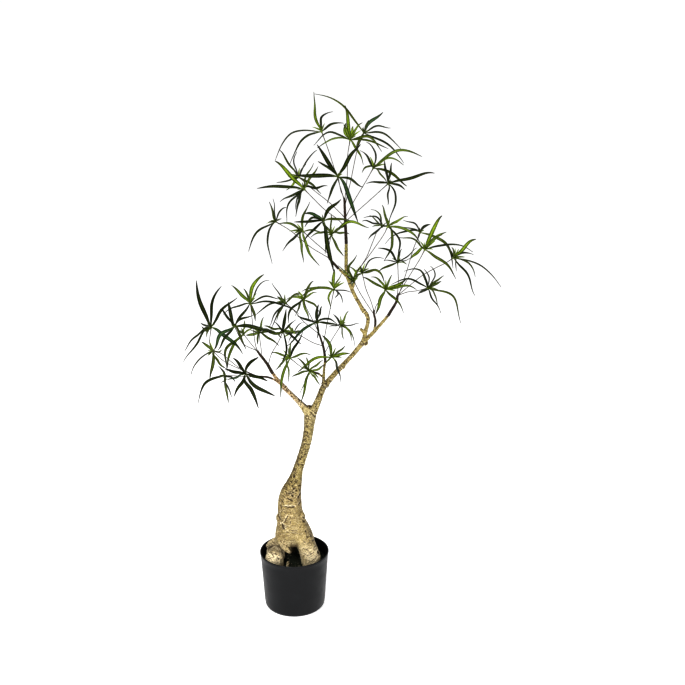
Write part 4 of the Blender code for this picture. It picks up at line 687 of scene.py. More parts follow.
def soil_finish():
    """Dark damp filling, crumbly all over."""
    values = settings("soil")
    finish = Finish("Damp potting soil", 0.9, 0.2)
    crumbs = finish.speckle(420, 3)
    finish.paint(finish.mix(finish.ramp(crumbs, 0.5, 0.75), values.earth, [2.6 * part for part in values.earth]))
    finish.bump(crumbs, 0.0012)
    return finish.material


def grit_finish():
    """Grains from dark crumbs to pale grit, each of its own shade."""
    values = settings("soil")
    finish = Finish("Soil grains", 0.85, 0.3)
    shade = finish.ramp(finish.attribute("shade"), 0.55, 1.0)
    tint = finish.mix(shade, values.earth, values.grit)
    finish.paint(finish.mix(finish.ramp(finish.speckle(900, 2), 0.45, 0.7, 0.0, 0.6), tint, values.earth))
    finish.bump(finish.speckle(1500, 2), 0.0003)
    return finish.material


def bark_finish():
    """Golden bark with worn pale crests and painted highlights, umber patches and flakes, and dark pits and cracks
    with painted shade in furrows and hollows.
    """
    values = settings("bark")
    finish = Finish("Golden bark", 0.46, 0.38)
    # The share of flakes and specks, fewer on the stem's right side as a painted highlight.
    busy = finish.attribute("busy")
    flat = (1, 1, 2.4)                          # marks are wider than they are high
    patches = finish.ramp(finish.speckle(60, 4), 0.4, 0.68, 0.0, 0.6)
    tint = finish.mix(finish.maths("MULTIPLY", patches, busy), values.gold, values.umber)
    grain = finish.ramp(finish.speckle(190, 3, flat), 0.52, 0.66, 0.0, 0.6)
    tint = finish.mix(grain, tint, values.pale)
    flakes = finish.ramp(finish.speckle(230, 3, flat, 4.0), 0.5, 0.6, 0.0, 0.9)
    tint = finish.mix(finish.maths("MULTIPLY", flakes, busy), tint, values.umber)
    # Worn pale crests and painted highlights.
    tint = finish.mix(finish.attribute("crest"), tint, values.pale)
    tint = finish.mix(finish.attribute("warm"), tint, values.rust)
    tint = finish.mix(finish.maths("MULTIPLY", finish.attribute("fresh"), 0.8), tint, values.young)
    specks = finish.ramp(finish.speckle(250, 3, (1, 1, 2.2), 9.0), 0.535, 0.59)
    tint = finish.mix(finish.maths("MULTIPLY", specks, busy), tint, values.scar_and_shade)
    # Dark pits and cracks, and painted shade in the furrows, under the arch and on the stem's left side.
    finish.paint(finish.mix(finish.attribute("pit"), tint, values.scar_and_shade))
    finish.bump(finish.speckle(300, 4, (1, 1, 2.0)), 0.0018)
    return finish.material


def twig_finish():
    """Dark brown wood with darker rings."""
    values = settings("twig")
    finish = Finish("Dark twig wood", 0.6, 0.3)
    rings = finish.ramp(finish.speckle(260, 3, (1, 1, 2.2)), 0.48, 0.62)
    finish.paint(finish.mix(rings, values.wood, values.knot))
    finish.bump(finish.speckle(800, 2, (1, 1, 2)), 0.0004)
    return finish.material


def stalk_finish():
    """Thin grey-brown stalks."""
    values = settings("twig")
    finish = Finish("Grey-brown stalk", 0.5, 0.3)
    tones = finish.ramp(finish.speckle(160, 2), 0.4, 0.65)
    finish.paint(finish.mix(tones, values.stalk, values.wood))
    return finish.material


def leaf_finish(tone):
    """A leaf's green: pale along the midrib and base, darker at its edges, nearly black at the tip."""
    values = settings("leaf")
    tint = getattr(values, tone)
    deep = [part * share for part, share in zip(tint, (0.16, 0.2, 0.3))]
    light = [part * share + extra for part, share, extra in zip(tint, (1.5, 1.35, 1.3), (0.03, 0.035, 0.005))]
    finish = Finish("Leaf, " + tone, 0.42, 0.14)
    across = finish.maths("ABSOLUTE", finish.attribute("across"))
    share, under = finish.attribute("along"), finish.attribute("under")
    mottle = finish.ramp(finish.speckle(95, 3), 0.38, 0.66, 0.0, 0.55)
    rib, rim = finish.ramp(across, 0.05, 0.42, 0.85, 0.0), finish.ramp(across, 0.5, 0.88, 0.0, 0.92)
    made = finish.mix(mottle, tint, deep)
    made = finish.mix(rib, made, light)
    made = finish.mix(rim, made, deep)
    made = finish.mix(finish.ramp(share, 0.0, 0.16, 0.75, 0.0), made, values.foot)
    made = finish.mix(finish.ramp(share, 0.62, 0.96, 0.0, 0.9), made, values.tip)
    finish.paint(finish.mix(finish.maths("MULTIPLY", under, 0.4), made, deep))
    finish.bump(finish.maths("SINE", finish.maths("MULTIPLY", across, VEINS)), 0.00006)
    finish.rough(finish.ramp(under, 0.0, 1.0, 0.38, 0.62))
    return finish.material


def stage_finish():
    """The plain pale floor and backdrop, which glow so softly that no shadow shows."""
    values = settings("stage")
    finish = Finish("Pale studio floor", 0.9, 0.0)
    finish.shader.inputs["Base Color"].default_value = (*values.floor, 1.0)
    finish.shader.inputs["Emission Color"].default_value = (1.0, 1.0, 1.0, 1.0)
    finish.shader.inputs["Emission Strength"].default_value = values.glow
    return finish.material


def pot_radius(height):
    """The pot's outer radius under the rim band, in millimetres."""
    values = settings("pot")
    base = in_mm(values.base_radius)
    return base + (in_mm(values.rim_radius - values.step) - base) * height / in_mm(values.height)


def make_pot():
    """The tapered shell with its rounded bottom edge, raised rim band and rounded lip."""
    values = settings("pot")
    corner, wall, step = in_mm(values.corner), in_mm(values.wall), in_mm(values.step)
    top, rim = in_mm(values.height), in_mm(values.rim_radius)
    centre = in_mm(values.base_radius) - corner
    band = top - in_mm(values.band)
    round_off = 0.5                             # radius of the band's lower edge
    lip = wall / 2
    outside = [(0, 0), (centre * 0.5, 0)] + arc(centre, corner, corner, -90, 0, 9)
    outside += [(pot_radius(height), height) for height in np.linspace(corner * 2, band - 1.2, 12)]
    outside += arc(pot_radius(band) + step - round_off, band + round_off, round_off, -80, 0, 4)
    outside += [(rim, top - wall)] + arc(rim - lip, top - lip, lip, 0, 180, 8)
    inside = [(pot_radius(band) - wall, band - 2)]
    inside += [(pot_radius(height) - wall, height) for height in np.linspace(band - 14, corner * 1.5, 6)]
    inside += [(centre, POT_FLOOR), (0, POT_FLOOR)]
    pot = turned("pot_shell", outside + inside, values.sides, [plastic_finish()])
    smooth(pot, 32)
    dress(pot, "pot")


def noise_at(places, scale, seed):
    """Soft noise from -1 to 1 at places in millimetres, in lumps of about the scale's size."""
    shift = Vector((seed * 17.3, seed * 5.1, seed * 9.7))
    return np.array([noise.noise(Vector(place) / scale + shift) for place in places])


def cells(places, scale, stretch, seed):
    """Cells of about the scale's size, flattened by the stretch: each place's distance from its cell's centre,
    how far it is from the next cell, and a number from 0 to 1 that is the whole cell's."""
    shift = Vector((seed * 3.7, seed * 11.9, seed * 7.3))
    centre, edge, chance = np.zeros(len(places)), np.zeros(len(places)), np.zeros(len(places))
    for index, (x, y, z) in enumerate(places):
        distances, nearest = noise.voronoi(Vector((x, y, z * stretch)) / scale + shift)
        centre[index], edge[index] = distances[0], distances[1] - distances[0]
        chance[index] = noise.cell(nearest[0] * 7.1) * 0.5 + 0.5
    return centre, edge, chance


def grown_together(item, cell, rounds):
    """All the shells of an object made one on a grid, and smoothed."""
    remesh = item.modifiers.new("Grown together", "REMESH")
    remesh.mode = "VOXEL"
    remesh.voxel_size = cell
    soften = item.modifiers.new("Soften", "SMOOTH")
    soften.factor = 0.5
    soften.iterations = rounds
    return applied(item)


def read_points(item, what):
    """The points' places or normals as rows of three."""
    values = np.zeros(len(item.data.vertices) * 3, np.float32)
    getattr(item.data, what).foreach_get("co" if what == "vertices" else "vector", values)
    return values.reshape(-1, 3).astype(float)


def rise(values, start, span):
    """0 up to the start, 1 from a span beyond it, and an even rise between."""
    return np.clip((values - start) / span, 0, 1)


def fall(values, end, span):
    """1 until a span before the end, 0 from the end on, and an even fall between."""
    return np.clip((end - values) / span, 0, 1)


def bell(values, width):
    """1 at zero, with soft flanks of about the width."""
    return np.exp(-(values / width) ** 2)


class Bark:
    """The bark's relief in millimetres and its marks from 0 to 1 at each point, built up layer by layer.

    The pit mark paints dark pits and cracks, and also painted shade in the furrows, under the arch and on the
    stem's left side; the crest mark paints pale worn wood, and also painted highlights on the lips of the slits,
    the lower trunk, the dome, the neck, the fork and the limbs; the warm mark the rusty left limb, the fresh mark
    green bark and the busy mark the share of the finish's own flakes and specks, fewer on the stem's right side
    as a painted highlight.
    """
    STEM_FOOT, STEM_TOP = 290, 480      # heights between which the stem is slim and even
    FORK = 500

    def __init__(self, places, normals):
        self.values = settings("bark")
        self.places, self.normals = places, normals
        self.x, self.z = places[:, 0], places[:, 2]
        self.relief, self.pit, self.crest = np.zeros((3, len(places)))
        self.stout = np.maximum(fall(self.z, 520, 60), 0.4)     # all relief is shallower on the limbs
        self.fine = self.noise(3.6, 3, places * (1, 1, 1.6))
        self.worn = np.clip(self.noise(24, 6) * 1.6 + 0.65, 0.1, 1)

    def noise(self, scale, seed, places=None):
        """Soft noise at the bark's points."""
        return noise_at(self.places if places is None else places, scale, seed)

    def darken(self, amount):
        """Mark what is dark, pits, cracks and painted shade alike, over what is marked less."""
        self.pit = np.maximum(self.pit, amount)

    def wear_and_highlight(self, amount):
        """Mark what is pale, worn wood and painted highlights alike, over what is marked less."""
        self.crest = np.maximum(self.crest, amount)

    def swell(self):
        """Broad lumps with a fine grain on them."""
        lumps = self.noise(21, 1) * 0.6 + self.noise(8, 2) * 0.4
        self.relief += lumps * in_mm(self.values.lumps) * self.stout + self.fine * 0.3
        self.wear_and_highlight(np.clip(self.fine * 1.7 - 0.35, 0, 1) * 0.6)

    def pits_and_cracks(self):
        """Two sizes of pits, more of them on the stem, and cracks between their cells."""
        z, above = self.z, self.z > 300
        tall = np.stack([self.x, self.places[:, 1], np.where(above, 300 + (z - 300) / 1.5, z)], axis=1)
        warped = tall + np.stack([self.noise(5, seed) for seed in (11, 12, 13)], axis=1) * 1.8
        often = np.where(above, 0.75, 0.4) * (0.6 + 0.4 * self.worn)
        away, edge, chance = cells(warped, 6.6, 1.8, 4)
        size = 0.26 + 0.3 * np.abs(chance * 7 % 1)
        pits = np.clip((size - away) / size * 2.2, 0, 1) * (chance < often)
        cracks = fall(edge, 0.2, 0.2) * (self.fine < 0.05) * self.worn * 0.7
        away, edge, chance = cells(warped, 4.1, 1.7, 5)
        pits = np.maximum(pits, fall(away, 0.36, 0.2) * (chance < often * 0.55) * 0.9)
        self.relief -= (pits + cracks * 0.5) * in_mm(self.values.pits) * self.stout
        self.darken(np.maximum(pits * np.where(above, 1, 0.6), cracks * 0.5))

    def rings(self, draw):
        """Raised rings across the limbs, a few centimetres apart, and the dark crease beside each."""
        ridge, crease = np.zeros((2, len(self.places)))
        for name, limb in LIMBS.items():
            route = smooth_route(limb, 4)
            ways = along(route)
            for height in COLLARS.get(name, ()):
                number = int(np.argmin(abs(route[:, 2] - height)))
                offset = self.places - route[number, :3]
                gap = abs(offset @ ways[number])
                close = np.linalg.norm(offset, axis=1) < route[number, 3] + 5
                ridge += bell(gap, 1.8) * close * 2
                crease = np.maximum(crease, bell(gap - 3.2, 1.1) * close)
            place = draw.uniform(4, 8)
            while place < len(route) - 2:
                middle, way = route[int(place)], ways[int(place)]
                offset = self.places - middle[:3]
                gap = offset @ way + draw.uniform(-0.2, 0.2) * offset[:, 0]
                close = (np.linalg.norm(offset, axis=1) < middle[3] + 5) * (middle[2] > FORK_TOP)
                ridge += bell(gap, 1.6) * close * draw.uniform(0.3, 1)
                crease = np.maximum(crease, bell(gap - 2.4, 1.0) * close * draw.uniform(0.3, 1))
                place += draw.uniform(4, 9)
        self.relief += ridge * 0.45 - crease * 0.3
        self.darken(crease * 0.85)
        self.wear_and_highlight(ridge * 0.6)

    def wrinkles(self):
        """Fine wrinkles across the roots, which run down the right leg at a slant."""
        x, z = self.x, self.z
        leg = rise(x, 6, 12) * fall(z, 188, 20)
        flow = np.where(leg > 0, 0.76 * z - 0.65 * x, z + 0.35 * x) + self.noise(13, 7) * 7
        low = fall(z, 262, 60) * 0.45 + leg * 0.25
        waves = np.sin(flow * 2 * math.pi / 4.8)
        self.relief += waves * in_mm(self.values.wrinkles) * low
        self.darken(np.clip(-waves - 0.62, 0, 1) * 2.4 * low * np.clip(self.worn + 0.2 - self.fine, 0, 1))
        self.wear_and_highlight(np.clip(waves - 0.5, 0, 1) * 1.2 * low * self.worn)

    def scars(self):
        """Slits, cracks and ticks on the front, each with a raised lip above it painted pale as a highlight, and
        round knots.
        """
        front = np.clip(0.6 - self.normals[:, 1] * 3, 0, 1)
        shift = self.noise(5, 8) * 1.5
        broken = 1.15 + 0.5 * self.noise(2.6, 10)
        x, z = self.x, self.z + shift
        for start_x, start_z, end_x, end_z, width, depth, lip in STROKES:
            way = np.array((end_x - start_x, end_z - start_z), float)
            share = np.clip(((x - start_x) * way[0] + (z - start_z) * way[1]) / (way @ way), 0, 1)
            above = z - start_z - share * way[1]
            away = np.hypot(x - start_x - share * way[0], above) / width
            cut = bell(away * broken, 1) * front
            edge = bell(away - 2.2, 1) * (above > 0) * front / broken
            self.relief += edge * lip * 0.6 - cut * depth
            self.darken(np.clip(cut * (1 + 0.5 * (depth > 1.3)), 0, 1))
            # Painted highlight on the lip above the slit.
            self.wear_and_highlight(np.clip(edge * lip, 0, 1))
        for knot_x, knot_z, size, depth in KNOT_HOLES:
            away = np.hypot(x - knot_x + shift * 0.5, self.z - knot_z) / size
            ring = bell(away - 0.72, 0.22) * front
            self.relief -= ring * depth * 0.6
            self.darken(ring * (0.7 + 0.3 * (shift > 0)) / broken)
            self.wear_and_highlight(bell(away, 0.35) * front * 0.6)

    def furrows(self):
        """Deep furrows where roots meet, darkened as painted shade, and painted shade in the hollow under the arch
        between the legs.
        """
        for width, depth, line in FURROWS:
            away = np.full(len(self.places), np.inf)
            for start, end in zip(np.array(line[:-1], float), np.array(line[1:], float)):
                way, offset = end - start, self.places - start
                share = np.clip(offset @ way / (way @ way), 0, 1)
                away = np.minimum(away, np.linalg.norm(offset - share[:, None] * way, axis=1))
            furrow = bell(away, width)
            self.relief -= furrow * depth
            # Painted shade along the furrow.
            self.darken(furrow * 0.95)
        # Painted shade under the arch between the legs, below 176 mm.
        self.darken(fall(self.z, 176, 11) * rise(self.x, -13, 6) * fall(self.x, 13, 6) * 0.85)

    def tones(self):
        """Where the bark is busy with flakes, dark at an edge, pale, rusty or green: the stem's left side is darkened
        as painted shade and its right side has fewer flecks as a painted highlight, and the pale on the lower trunk,
        the dome, the neck, the fork and the limbs is painted highlight.
        """
        x, z, right = self.x, self.z, self.normals[:, 0]
        stem = rise(z, self.STEM_FOOT, 30) * fall(z, self.STEM_TOP, 30)
        left_limb = fall(x, 40, 8) * rise(z, 504, 8)
        right_limbs = rise(z, 505, 120) * rise(x, 36, 12)
        calm = bell(x - 4, 22) * bell(z - 190, 55) + rise(x, 12, 12) * fall(z, 178, 20) * 0.85
        busy = np.clip(1 - 0.85 * calm + 0.3 * self.noise(15, 14), 0.1, 1)
        busy *= np.clip(1.15 - (z - self.FORK) / 250, 0.35, 1)
        busy = np.where(x < -18, np.maximum(busy, 0.2 * fall(z, 150, 10)), busy)
        busy *= np.clip(0.65 + (z - 280) / 100, 0.65, 1)
        # Fewer flecks where the stem turns right: a painted highlight.
        busy *= 1 - 0.45 * stem * np.clip(right * 1.6 + 0.3, 0, 1)
        busy *= 1 - 0.7 * bell(x - 38, 10) * bell(z - 501, 8)
        # Painted shade where the stem turns left.
        self.darken(stem * np.clip(-right * 2 - 1.1, 0, 0.45))
        upward = rise(self.normals[:, 2], 0.4, 0.25) * rise(right, -0.3, 0.25)
        self.darken(upward * fall(x, 48, 6) * rise(z, self.FORK, 6) * fall(z, 570, 30))
        # Painted highlights: paler bark on the lower trunk, the dome's cap, the neck, the fork, the upper limbs and
        # the left limb, less on the right limbs and above 640 mm.
        light = 0.85 * fall(z, 185, 45) + 0.05 * calm + 0.16 * np.clip(1.4 - abs(z - 430) / 70, 0, 1)
        light += 0.8 * fall(x, -22, 6) * fall(z, 152, 6)
        light += 0.3 * np.clip(1.5 - abs(z - 488) / 24, 0, 1) + 0.15 * rise(z, 510, 30) * fall(z, 670, 50)
        light += 0.5 * left_limb - 0.35 * rise(z, 640, 40)
        self.crest += light * (0.75 + 0.6 * self.noise(9, 15)) - 0.2 * right_limbs
        fresh = right_limbs * np.clip((40 + z / 8 - x) / 40 + 0.6 * self.noise(12, 9), 0.3, 1)
        fresh = np.maximum(fresh, 0.35 * rise(z, self.STEM_FOOT, 40) * (1 - left_limb))
        warm = fall(x, 30, 60) * rise(z, self.FORK, 30) * 0.6
        return {"pit": np.clip(self.pit, 0, 1), "crest": np.clip(self.crest, 0, 1), "warm": warm,
                "fresh": fresh, "busy": busy}


def make_trunk():
    """Roots, stem and limbs grown together on a fine grid, with pits, cracks, scars and wrinkles."""
    values = settings("bark")
    shells = [tube("stem", smooth_route(CORE, 5), 40)]
    shells += [tube("root", smooth_route(route, 5), 32) for route in [*ROOTS.values(), SPUR]]
    shells += [ball("knot", np.array(place[:3]), place[3], 4) for place in KNOTS]
    trunk = grown_together(joined("trunk_bark", shells), values.cell, 22)
    limbs = [tube("limb", smooth_route(route, 4), 20) for route in LIMBS.values()]
    limbs += [ball("limb_knot", np.array(place[:3]), place[3], 3) for place in LIMB_KNOTS + [SADDLE]]
    trunk = grown_together(joined("trunk_bark", [trunk] + limbs), values.cell, 2)
    places = read_points(trunk, "vertices") / MM
    normals = read_points(trunk, "vertex_normals")
    bark = Bark(places, normals)
    bark.swell()
    bark.pits_and_cracks()
    bark.rings(random.Random(5))
    bark.wrinkles()
    bark.scars()
    bark.furrows()
    for name, marks in bark.tones().items():
        set_attribute(trunk, name, marks)
    places += normals * bark.relief[:, None]
    trunk.data.vertices.foreach_set("co", (places * MM).astype(np.float32).ravel())
    trunk.data.materials.clear()
    trunk.data.materials.append(bark_finish())
    trunk.data.shade_smooth()
    dress(trunk, "trunk")


def soil_edge():
    """The soil's radius at its top, a gap inside the pot's wall."""
    return pot_radius(in_mm(settings("soil").top)) - (in_mm(settings("pot").wall) + GAP)


def make_soil():
    """The uneven filling, with holes for the roots."""
    values, pot = settings("soil"), settings("pot")
    corner, wall = in_mm(pot.corner), in_mm(pot.wall) + GAP
    centre = in_mm(pot.base_radius) - corner
    top, dome, rough, edge = in_mm(values.top), in_mm(values.dome), in_mm(values.rough), soil_edge()
    profile = [(0, POT_FLOOR + GAP), (centre - GAP, POT_FLOOR + GAP), (pot_radius(corner) - wall, corner + GAP)]
    profile += [(edge, top - 4)]
    profile += [(radius, top + dome * (1 - (radius / edge) ** 3)) for radius in np.linspace(edge, 0, SOIL_RINGS)]
    soil = turned("soil_bed", profile, SOIL_SIDES, [soil_finish()])
    for vertex in soil.data.vertices:
        place = vertex.co / MM
        if place.z > top - 1 and place.xy.length < edge - 1:
            lift = noise.noise(place / 6.5) * 0.6 + noise.noise(place / 2.6 + Vector((9, 4, 2))) * 0.5
            vertex.co.z += lift * rough * MM
    trunk = bpy.data.objects["trunk_bark"]
    cutter = bpy.data.objects.new("root_holes", trunk.data.copy())
    bpy.context.scene.collection.objects.link(cutter)
    for vertex, source in zip(cutter.data.vertices, trunk.data.vertices):
        vertex.co = source.co + source.normal * GAP * MM
    cut = soil.modifiers.new("Root holes", "BOOLEAN")
    cut.operation = "DIFFERENCE"
    cut.solver = "MANIFOLD"
    cut.object = cutter
    applied(soil)
    bpy.data.objects.remove(cutter)
    smooth(soil, 50)
    dress(soil, "soil")


def point_tree(item, flat):
    """A search tree of an object's points, by their places in plan or in full."""
    tree = KDTree(len(item.data.vertices))
    for index, vertex in enumerate(item.data.vertices):
        tree.insert((vertex.co.x, vertex.co.y, 0 if flat else vertex.co.z), index)
    tree.balance()
    return tree


def make_grains():
    """Loose grains that lie on the soil, clear of the roots, each with a shade of its own."""
    values = settings("soil")
    soil = bpy.data.objects["soil_bed"]
    ground, roots = point_tree(soil, True), point_tree(bpy.data.objects["trunk_bark"], False)
    lowest = in_mm(values.top) - 3
    draw = random.Random(11)
    grains = []
    while len(grains) < values.grains:
        far, turn = soil_edge() * MM * math.sqrt(draw.random()) * 0.97, draw.uniform(0, 2 * math.pi)
        size = values.grain_size * draw.uniform(0.3, 1) ** 1.6
        spot = Vector((far * math.cos(turn), far * math.sin(turn), 0))
        heights = [soil.data.vertices[index].co.z for place, index, distance in ground.find_range(spot, GROUND_REACH)]
        if not heights or max(heights) < lowest * MM:
            continue
        spot.z = max(heights) + size * 0.3
        if roots.find(spot)[2] < size + ROOT_CLEARANCE:
            continue
        grain = ball("grain", np.zeros(3), in_mm(size), 2)
        for vertex in grain.data.vertices:
            vertex.co *= 1 + 0.35 * noise.noise(vertex.co / size * 0.9 + spot * 900)
            vertex.co.z *= 0.75
            vertex.co += spot
        set_attribute(grain, "shade", [draw.random()] * len(grain.data.vertices))
        grains.append(grain)
    grit = joined("soil_grains", grains)
    grit.data.materials.append(grit_finish())
    smooth(grit, 45)
    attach(grit, "root")


class Room:
    """Points along all that is placed, with half widths, so that the next blade is bent clear of it."""

    def __init__(self):
        self.points = np.zeros((0, 3))
        self.widths = np.zeros(0)
        self.owners = []

    def add(self, route, widths, owner):
        """Take up a route of the owner's."""
        self.points = np.vstack([self.points, route])
        self.widths = np.append(self.widths, widths)
        self.owners += [owner] * len(route)

    def near(self, centre, reach, owner):
        """What other owners have within reach of a place, as points and half widths."""
        close = np.linalg.norm(self.points - centre, axis=1) < reach
        other = np.array([name != owner for name in self.owners])
        return self.points[close & other], self.widths[close & other]


def clear_by(route, widths, neighbours):
    """The least distance between a route's surface and its neighbours' surfaces."""
    points, reaches = neighbours
    if not len(points):
        return math.inf
    apart = np.linalg.norm(route[:, None, :] - points[None, :, :], axis=2)
    return float((apart - widths[:, None] - reaches[None, :]).min())


def twig_route(name):
    """A twig's own points, started a gap beyond the flat end of its limb."""
    limb = np.array(LIMBS["upper" if name == "crown" else name], float)
    way = along(smooth_route(limb, TWIG_STEP))[-1]
    start = limb[-1].copy()
    start[:3] += way * GAP
    start[3] = min(start[3] - 0.2, TWIGS[name][0][3] + 0.2)
    first = start.copy()
    first[:3] += way * 3
    return smooth_route([start, first] + TWIGS[name], TWIG_STEP)


def stalk_route(hub, stalk, twig, bulge):
    """A stalk's middle from inside its twig up to its hub, at an even change of depth, bulged to or fro."""
    hub = np.array(hub, float)
    root_x, root_z = stalk[-1]
    inner = twig[2:]
    foot = inner[np.argmin(np.hypot(inner[:, 0] - root_x, inner[:, 2] - root_z))][:3]
    flat = [(foot[0], foot[2])] + [point for point in stalk[-2::-1]] + [(hub[0], hub[2])]
    steps = np.cumsum([0] + [math.dist(a, b) for a, b in zip(flat, flat[1:])])
    share = steps / steps[-1]
    depth = foot[1] + (hub[1] - foot[1]) * share + bulge * np.sin(math.pi * share)
    return smooth_route([(x, y, z) for (x, z), y in zip(flat, depth)], STALK_STEP)


def blade_line(hub, axis, bearing, reach, bow, lean, shares):
    """Points on a leaf's middle line, which leaves the hub sideways or forward and leans along the sight."""
    hub = np.array(hub, float)
    sight = (hub - EYE) / (hub - EYE)[1]
    out = np.array((math.cos(math.radians(bearing)), 0.0, math.sin(math.radians(bearing))))
    side = np.array((-out[2], 0.0, out[0]))
    middle = out * reach * 0.5 + side * bow + sight * lean * LEAN_AT_MIDDLE
    tip = out * reach + sight * lean
    start = middle / np.linalg.norm(middle)
    backward = LEAST_FORWARD - float(np.dot(start, axis))
    if backward > 0:
        start = start + axis * backward
        start /= np.linalg.norm(start)
    leave = start * np.linalg.norm(middle)
    across = tip * 0.5
    land = (tip - middle) * 0.9
    line = []
    for share in shares:
        a, b, c, d = ((0 * hub, leave, middle, across) if share <= 0.5 else (middle, across, tip, land))
        t = share * 2 if share <= 0.5 else share * 2 - 1
        line.append(hub + a * (2 * t ** 3 - 3 * t ** 2 + 1) + b * (t ** 3 - 2 * t ** 2 + t)
                    + c * (3 * t ** 2 - 2 * t ** 3) + d * (t ** 3 - t ** 2))
    return np.array(line)


def blade_width(kind, reach):
    """A leaf's full width, from how far it reaches."""
    width = min(WIDEST_BLADE, NARROWEST_BLADE + BLADE_WIDENING * reach)
    return width * (THIN_SHARE if kind[0] == "K" else 1.0)


def width_at(shares, reach):
    """The shares of a leaf's full width at shares of its length, as the frame has them."""
    stations, widths = zip(*(LONG_BLADE if reach >= LONG_REACH else SHORT_BLADE))
    return np.interp(shares, stations, widths)


def natural_lean(reach):
    """How far a leaf must lean to the front or back to have its grown length, from the reach that shows."""
    grown = max(LEAST_STRETCH * reach, SHORTEST_LEAF + LENGTH_PER_REACH * reach)
    return math.sqrt(grown ** 2 - reach ** 2)


def place_blade(room, owner, hub, axis, leaf, number, own):
    """The lean that keeps a leaf clear of all other nodes and, if it can, of its own spray, with its line."""
    kind, bearing, reach, bow = leaf
    shares = np.linspace(0, 1, int(reach / CHECK_STEP) + 12)
    widths = blade_width(kind, reach) / 2 * width_at(shares, reach)
    others = room.near(np.array(hub), reach + LEAF_NEIGHBOURHOOD, owner)
    first = 1 if number % 2 else -1
    best, best_clear = None, -math.inf
    for own_too in (True, False):
        for lean in LEANS:
            lean *= first * natural_lean(reach)
            line = blade_line(hub, axis, bearing, reach, bow, lean, shares)
            clear = clear_by(line, widths, others)
            if own_too and own:
                outer = slice(len(shares) // 3, None)
                mine = [np.concatenate(parts) for parts in zip(*own)]
                if clear_by(line[outer], widths[outer], mine) < 0:
                    continue
            if clear > CLEARANCE:
                return lean, line, widths
            if clear > best_clear:
                best, best_clear = (lean, line, widths), clear
    return best


@cache
def lay_out():
    """Every twig's and stalk's route, each spray's axis and every leaf's lean, found in the frame's order."""
    room = Room()
    for name, limb in list(LIMBS.items()) + list(ROOTS.items()) + [("core", CORE)]:
        dense = smooth_route(limb, CHECK_STEP)
        room.add(dense[:, :3], dense[:, 3], "trunk")
    twigs, stalks, axes, leans = {}, {}, {}, {}
    for name in TWIGS:
        twig = twig_route(name)
        twigs[name] = twig
        dense = smooth_route(twig, CHECK_STEP)
        room.add(dense[:, :3], dense[:, 3], "twig_" + name)
        for spray, (tone, on_twig, hub, stalk, leaves) in SPRAYS.items():
            if on_twig != name:
                continue
            others = room.near(np.array(hub), NEIGHBOURHOOD, "twig_" + name)
            routes = []
            for bulge in STALK_BULGES:
                route = stalk_route(hub, stalk, twig, bulge)
                check = smooth_route(route, CHECK_STEP)
                routes.append((clear_by(check, np.full(len(check), STALK_RADIUS), others), route, check))
                if routes[-1][0] > STALK_CLEARANCE:
                    break
            route, check = max(routes, key=lambda found: found[0])[1:]
            axis = along(route)[-1]
            axes[spray] = axis
            route[-1] = np.array(hub) - axis * (HUB_BACK + GAP)
            stalks.setdefault(name, []).append(route)
            room.add(check[:-2], np.full(len(check) - 2, STALK_RADIUS), "twig_" + name)
    for spray, (tone, on_twig, hub, stalk, leaves) in SPRAYS.items():
        room.add(np.array([hub]), np.array([HUB_RADIUS + 1]), "spray_" + spray)
    for spray, (tone, on_twig, hub, stalk, leaves) in SPRAYS.items():
        own = []
        for number, leaf in enumerate(leaves):
            lean, line, widths = place_blade(room, "spray_" + spray, hub, axes[spray], leaf, number, own)
            room.add(line, widths, "spray_" + spray)
            own.append((line, widths))
            leans.setdefault(spray, []).append(lean)
    return twigs, stalks, axes, leans


def make_twigs():
    """Each twig with knots along it, and its stalks, slightly swollen at both ends."""
    values = settings("twig")
    twigs, stalks, axes, leans = lay_out()
    finishes = [twig_finish(), stalk_finish()]
    for number, (name, twig) in enumerate(twigs.items()):
        fine = smooth_route(twig, 2.5)
        knots = noise_at(fine[:, :3], 5.5, 20 + number) * rise(np.arange(len(fine)), 0, 4)
        fine[:, 3] *= 1.12 + 0.16 * knots
        pieces = [tube("twig", fine, values.sides, finishes)]
        for stalk in stalks[name]:
            route = smooth_route(stalk, 5)
            share = np.linspace(0, 1, len(route))
            radius = FINE_STALK_RADIUS + 0.7 * np.exp(-share * 30) + 0.5 * np.exp(-(1 - share) * 26)
            piece = tube("stalk", np.column_stack([route, radius]), values.stalk_sides, finishes)
            for face in piece.data.polygons:
                face.material_index = 1
            pieces.append(piece)
        item = joined("twig_wood_" + name, pieces)
        smooth(item, 40)
        dress(item, "twig_" + name)


def blade_rings(line, ways, hub, rolls, widths, draw, folded=1.0):
    """The rings of a fine leaf's section along its line, turned as its node is and then gently twisted."""
    values = settings("leaf")
    thick, fold = in_mm(values.thickness), values.fold * folded
    sight = EYE - np.array(hub)
    sight /= np.linalg.norm(sight)
    twist = draw.uniform(-values.twist, values.twist)
    upper = np.array((0.0, 0.0, 1.0))
    rings = []
    for number, (place, way, width) in enumerate(zip(line, ways, widths)):
        share = number / (len(line) - 1)
        face = sight - way * np.dot(sight, way)
        face /= np.linalg.norm(face)
        side = np.cross(way, face)
        roll = math.radians(rolls[0] + (rolls[1] - rolls[0]) * share)
        # Of the two ways to roll, the one nearer to the last ring's, and at the foot to straight up.
        up = [face * math.cos(angle) + side * math.sin(angle) for angle in (roll, -roll)]
        upper = max(up, key=lambda vector: np.dot(vector, upper))
        turn = twist * (share - 0.35)
        lifted = upper * math.cos(turn) + np.cross(way, upper) * math.sin(turn)
        edge = np.cross(way, lifted)
        # Both the fold and the thickness fade toward the tip.
        lift = math.sin(fold * (1.25 - 0.6 * share)) * width
        depth = thick * (1.25 - 0.55 * share)
        rings.append([place + edge * across * width / 2 + lifted * (abs(across) * lift / 2 - lift / 6 + level * depth)
                      for across, level in SECTION])
    return rings


def outline_at(shares):
    """The shares of a fine leaf's full width at shares of its length."""
    stations, widths = zip(*OUTLINE)
    return np.interp(shares, stations, widths)


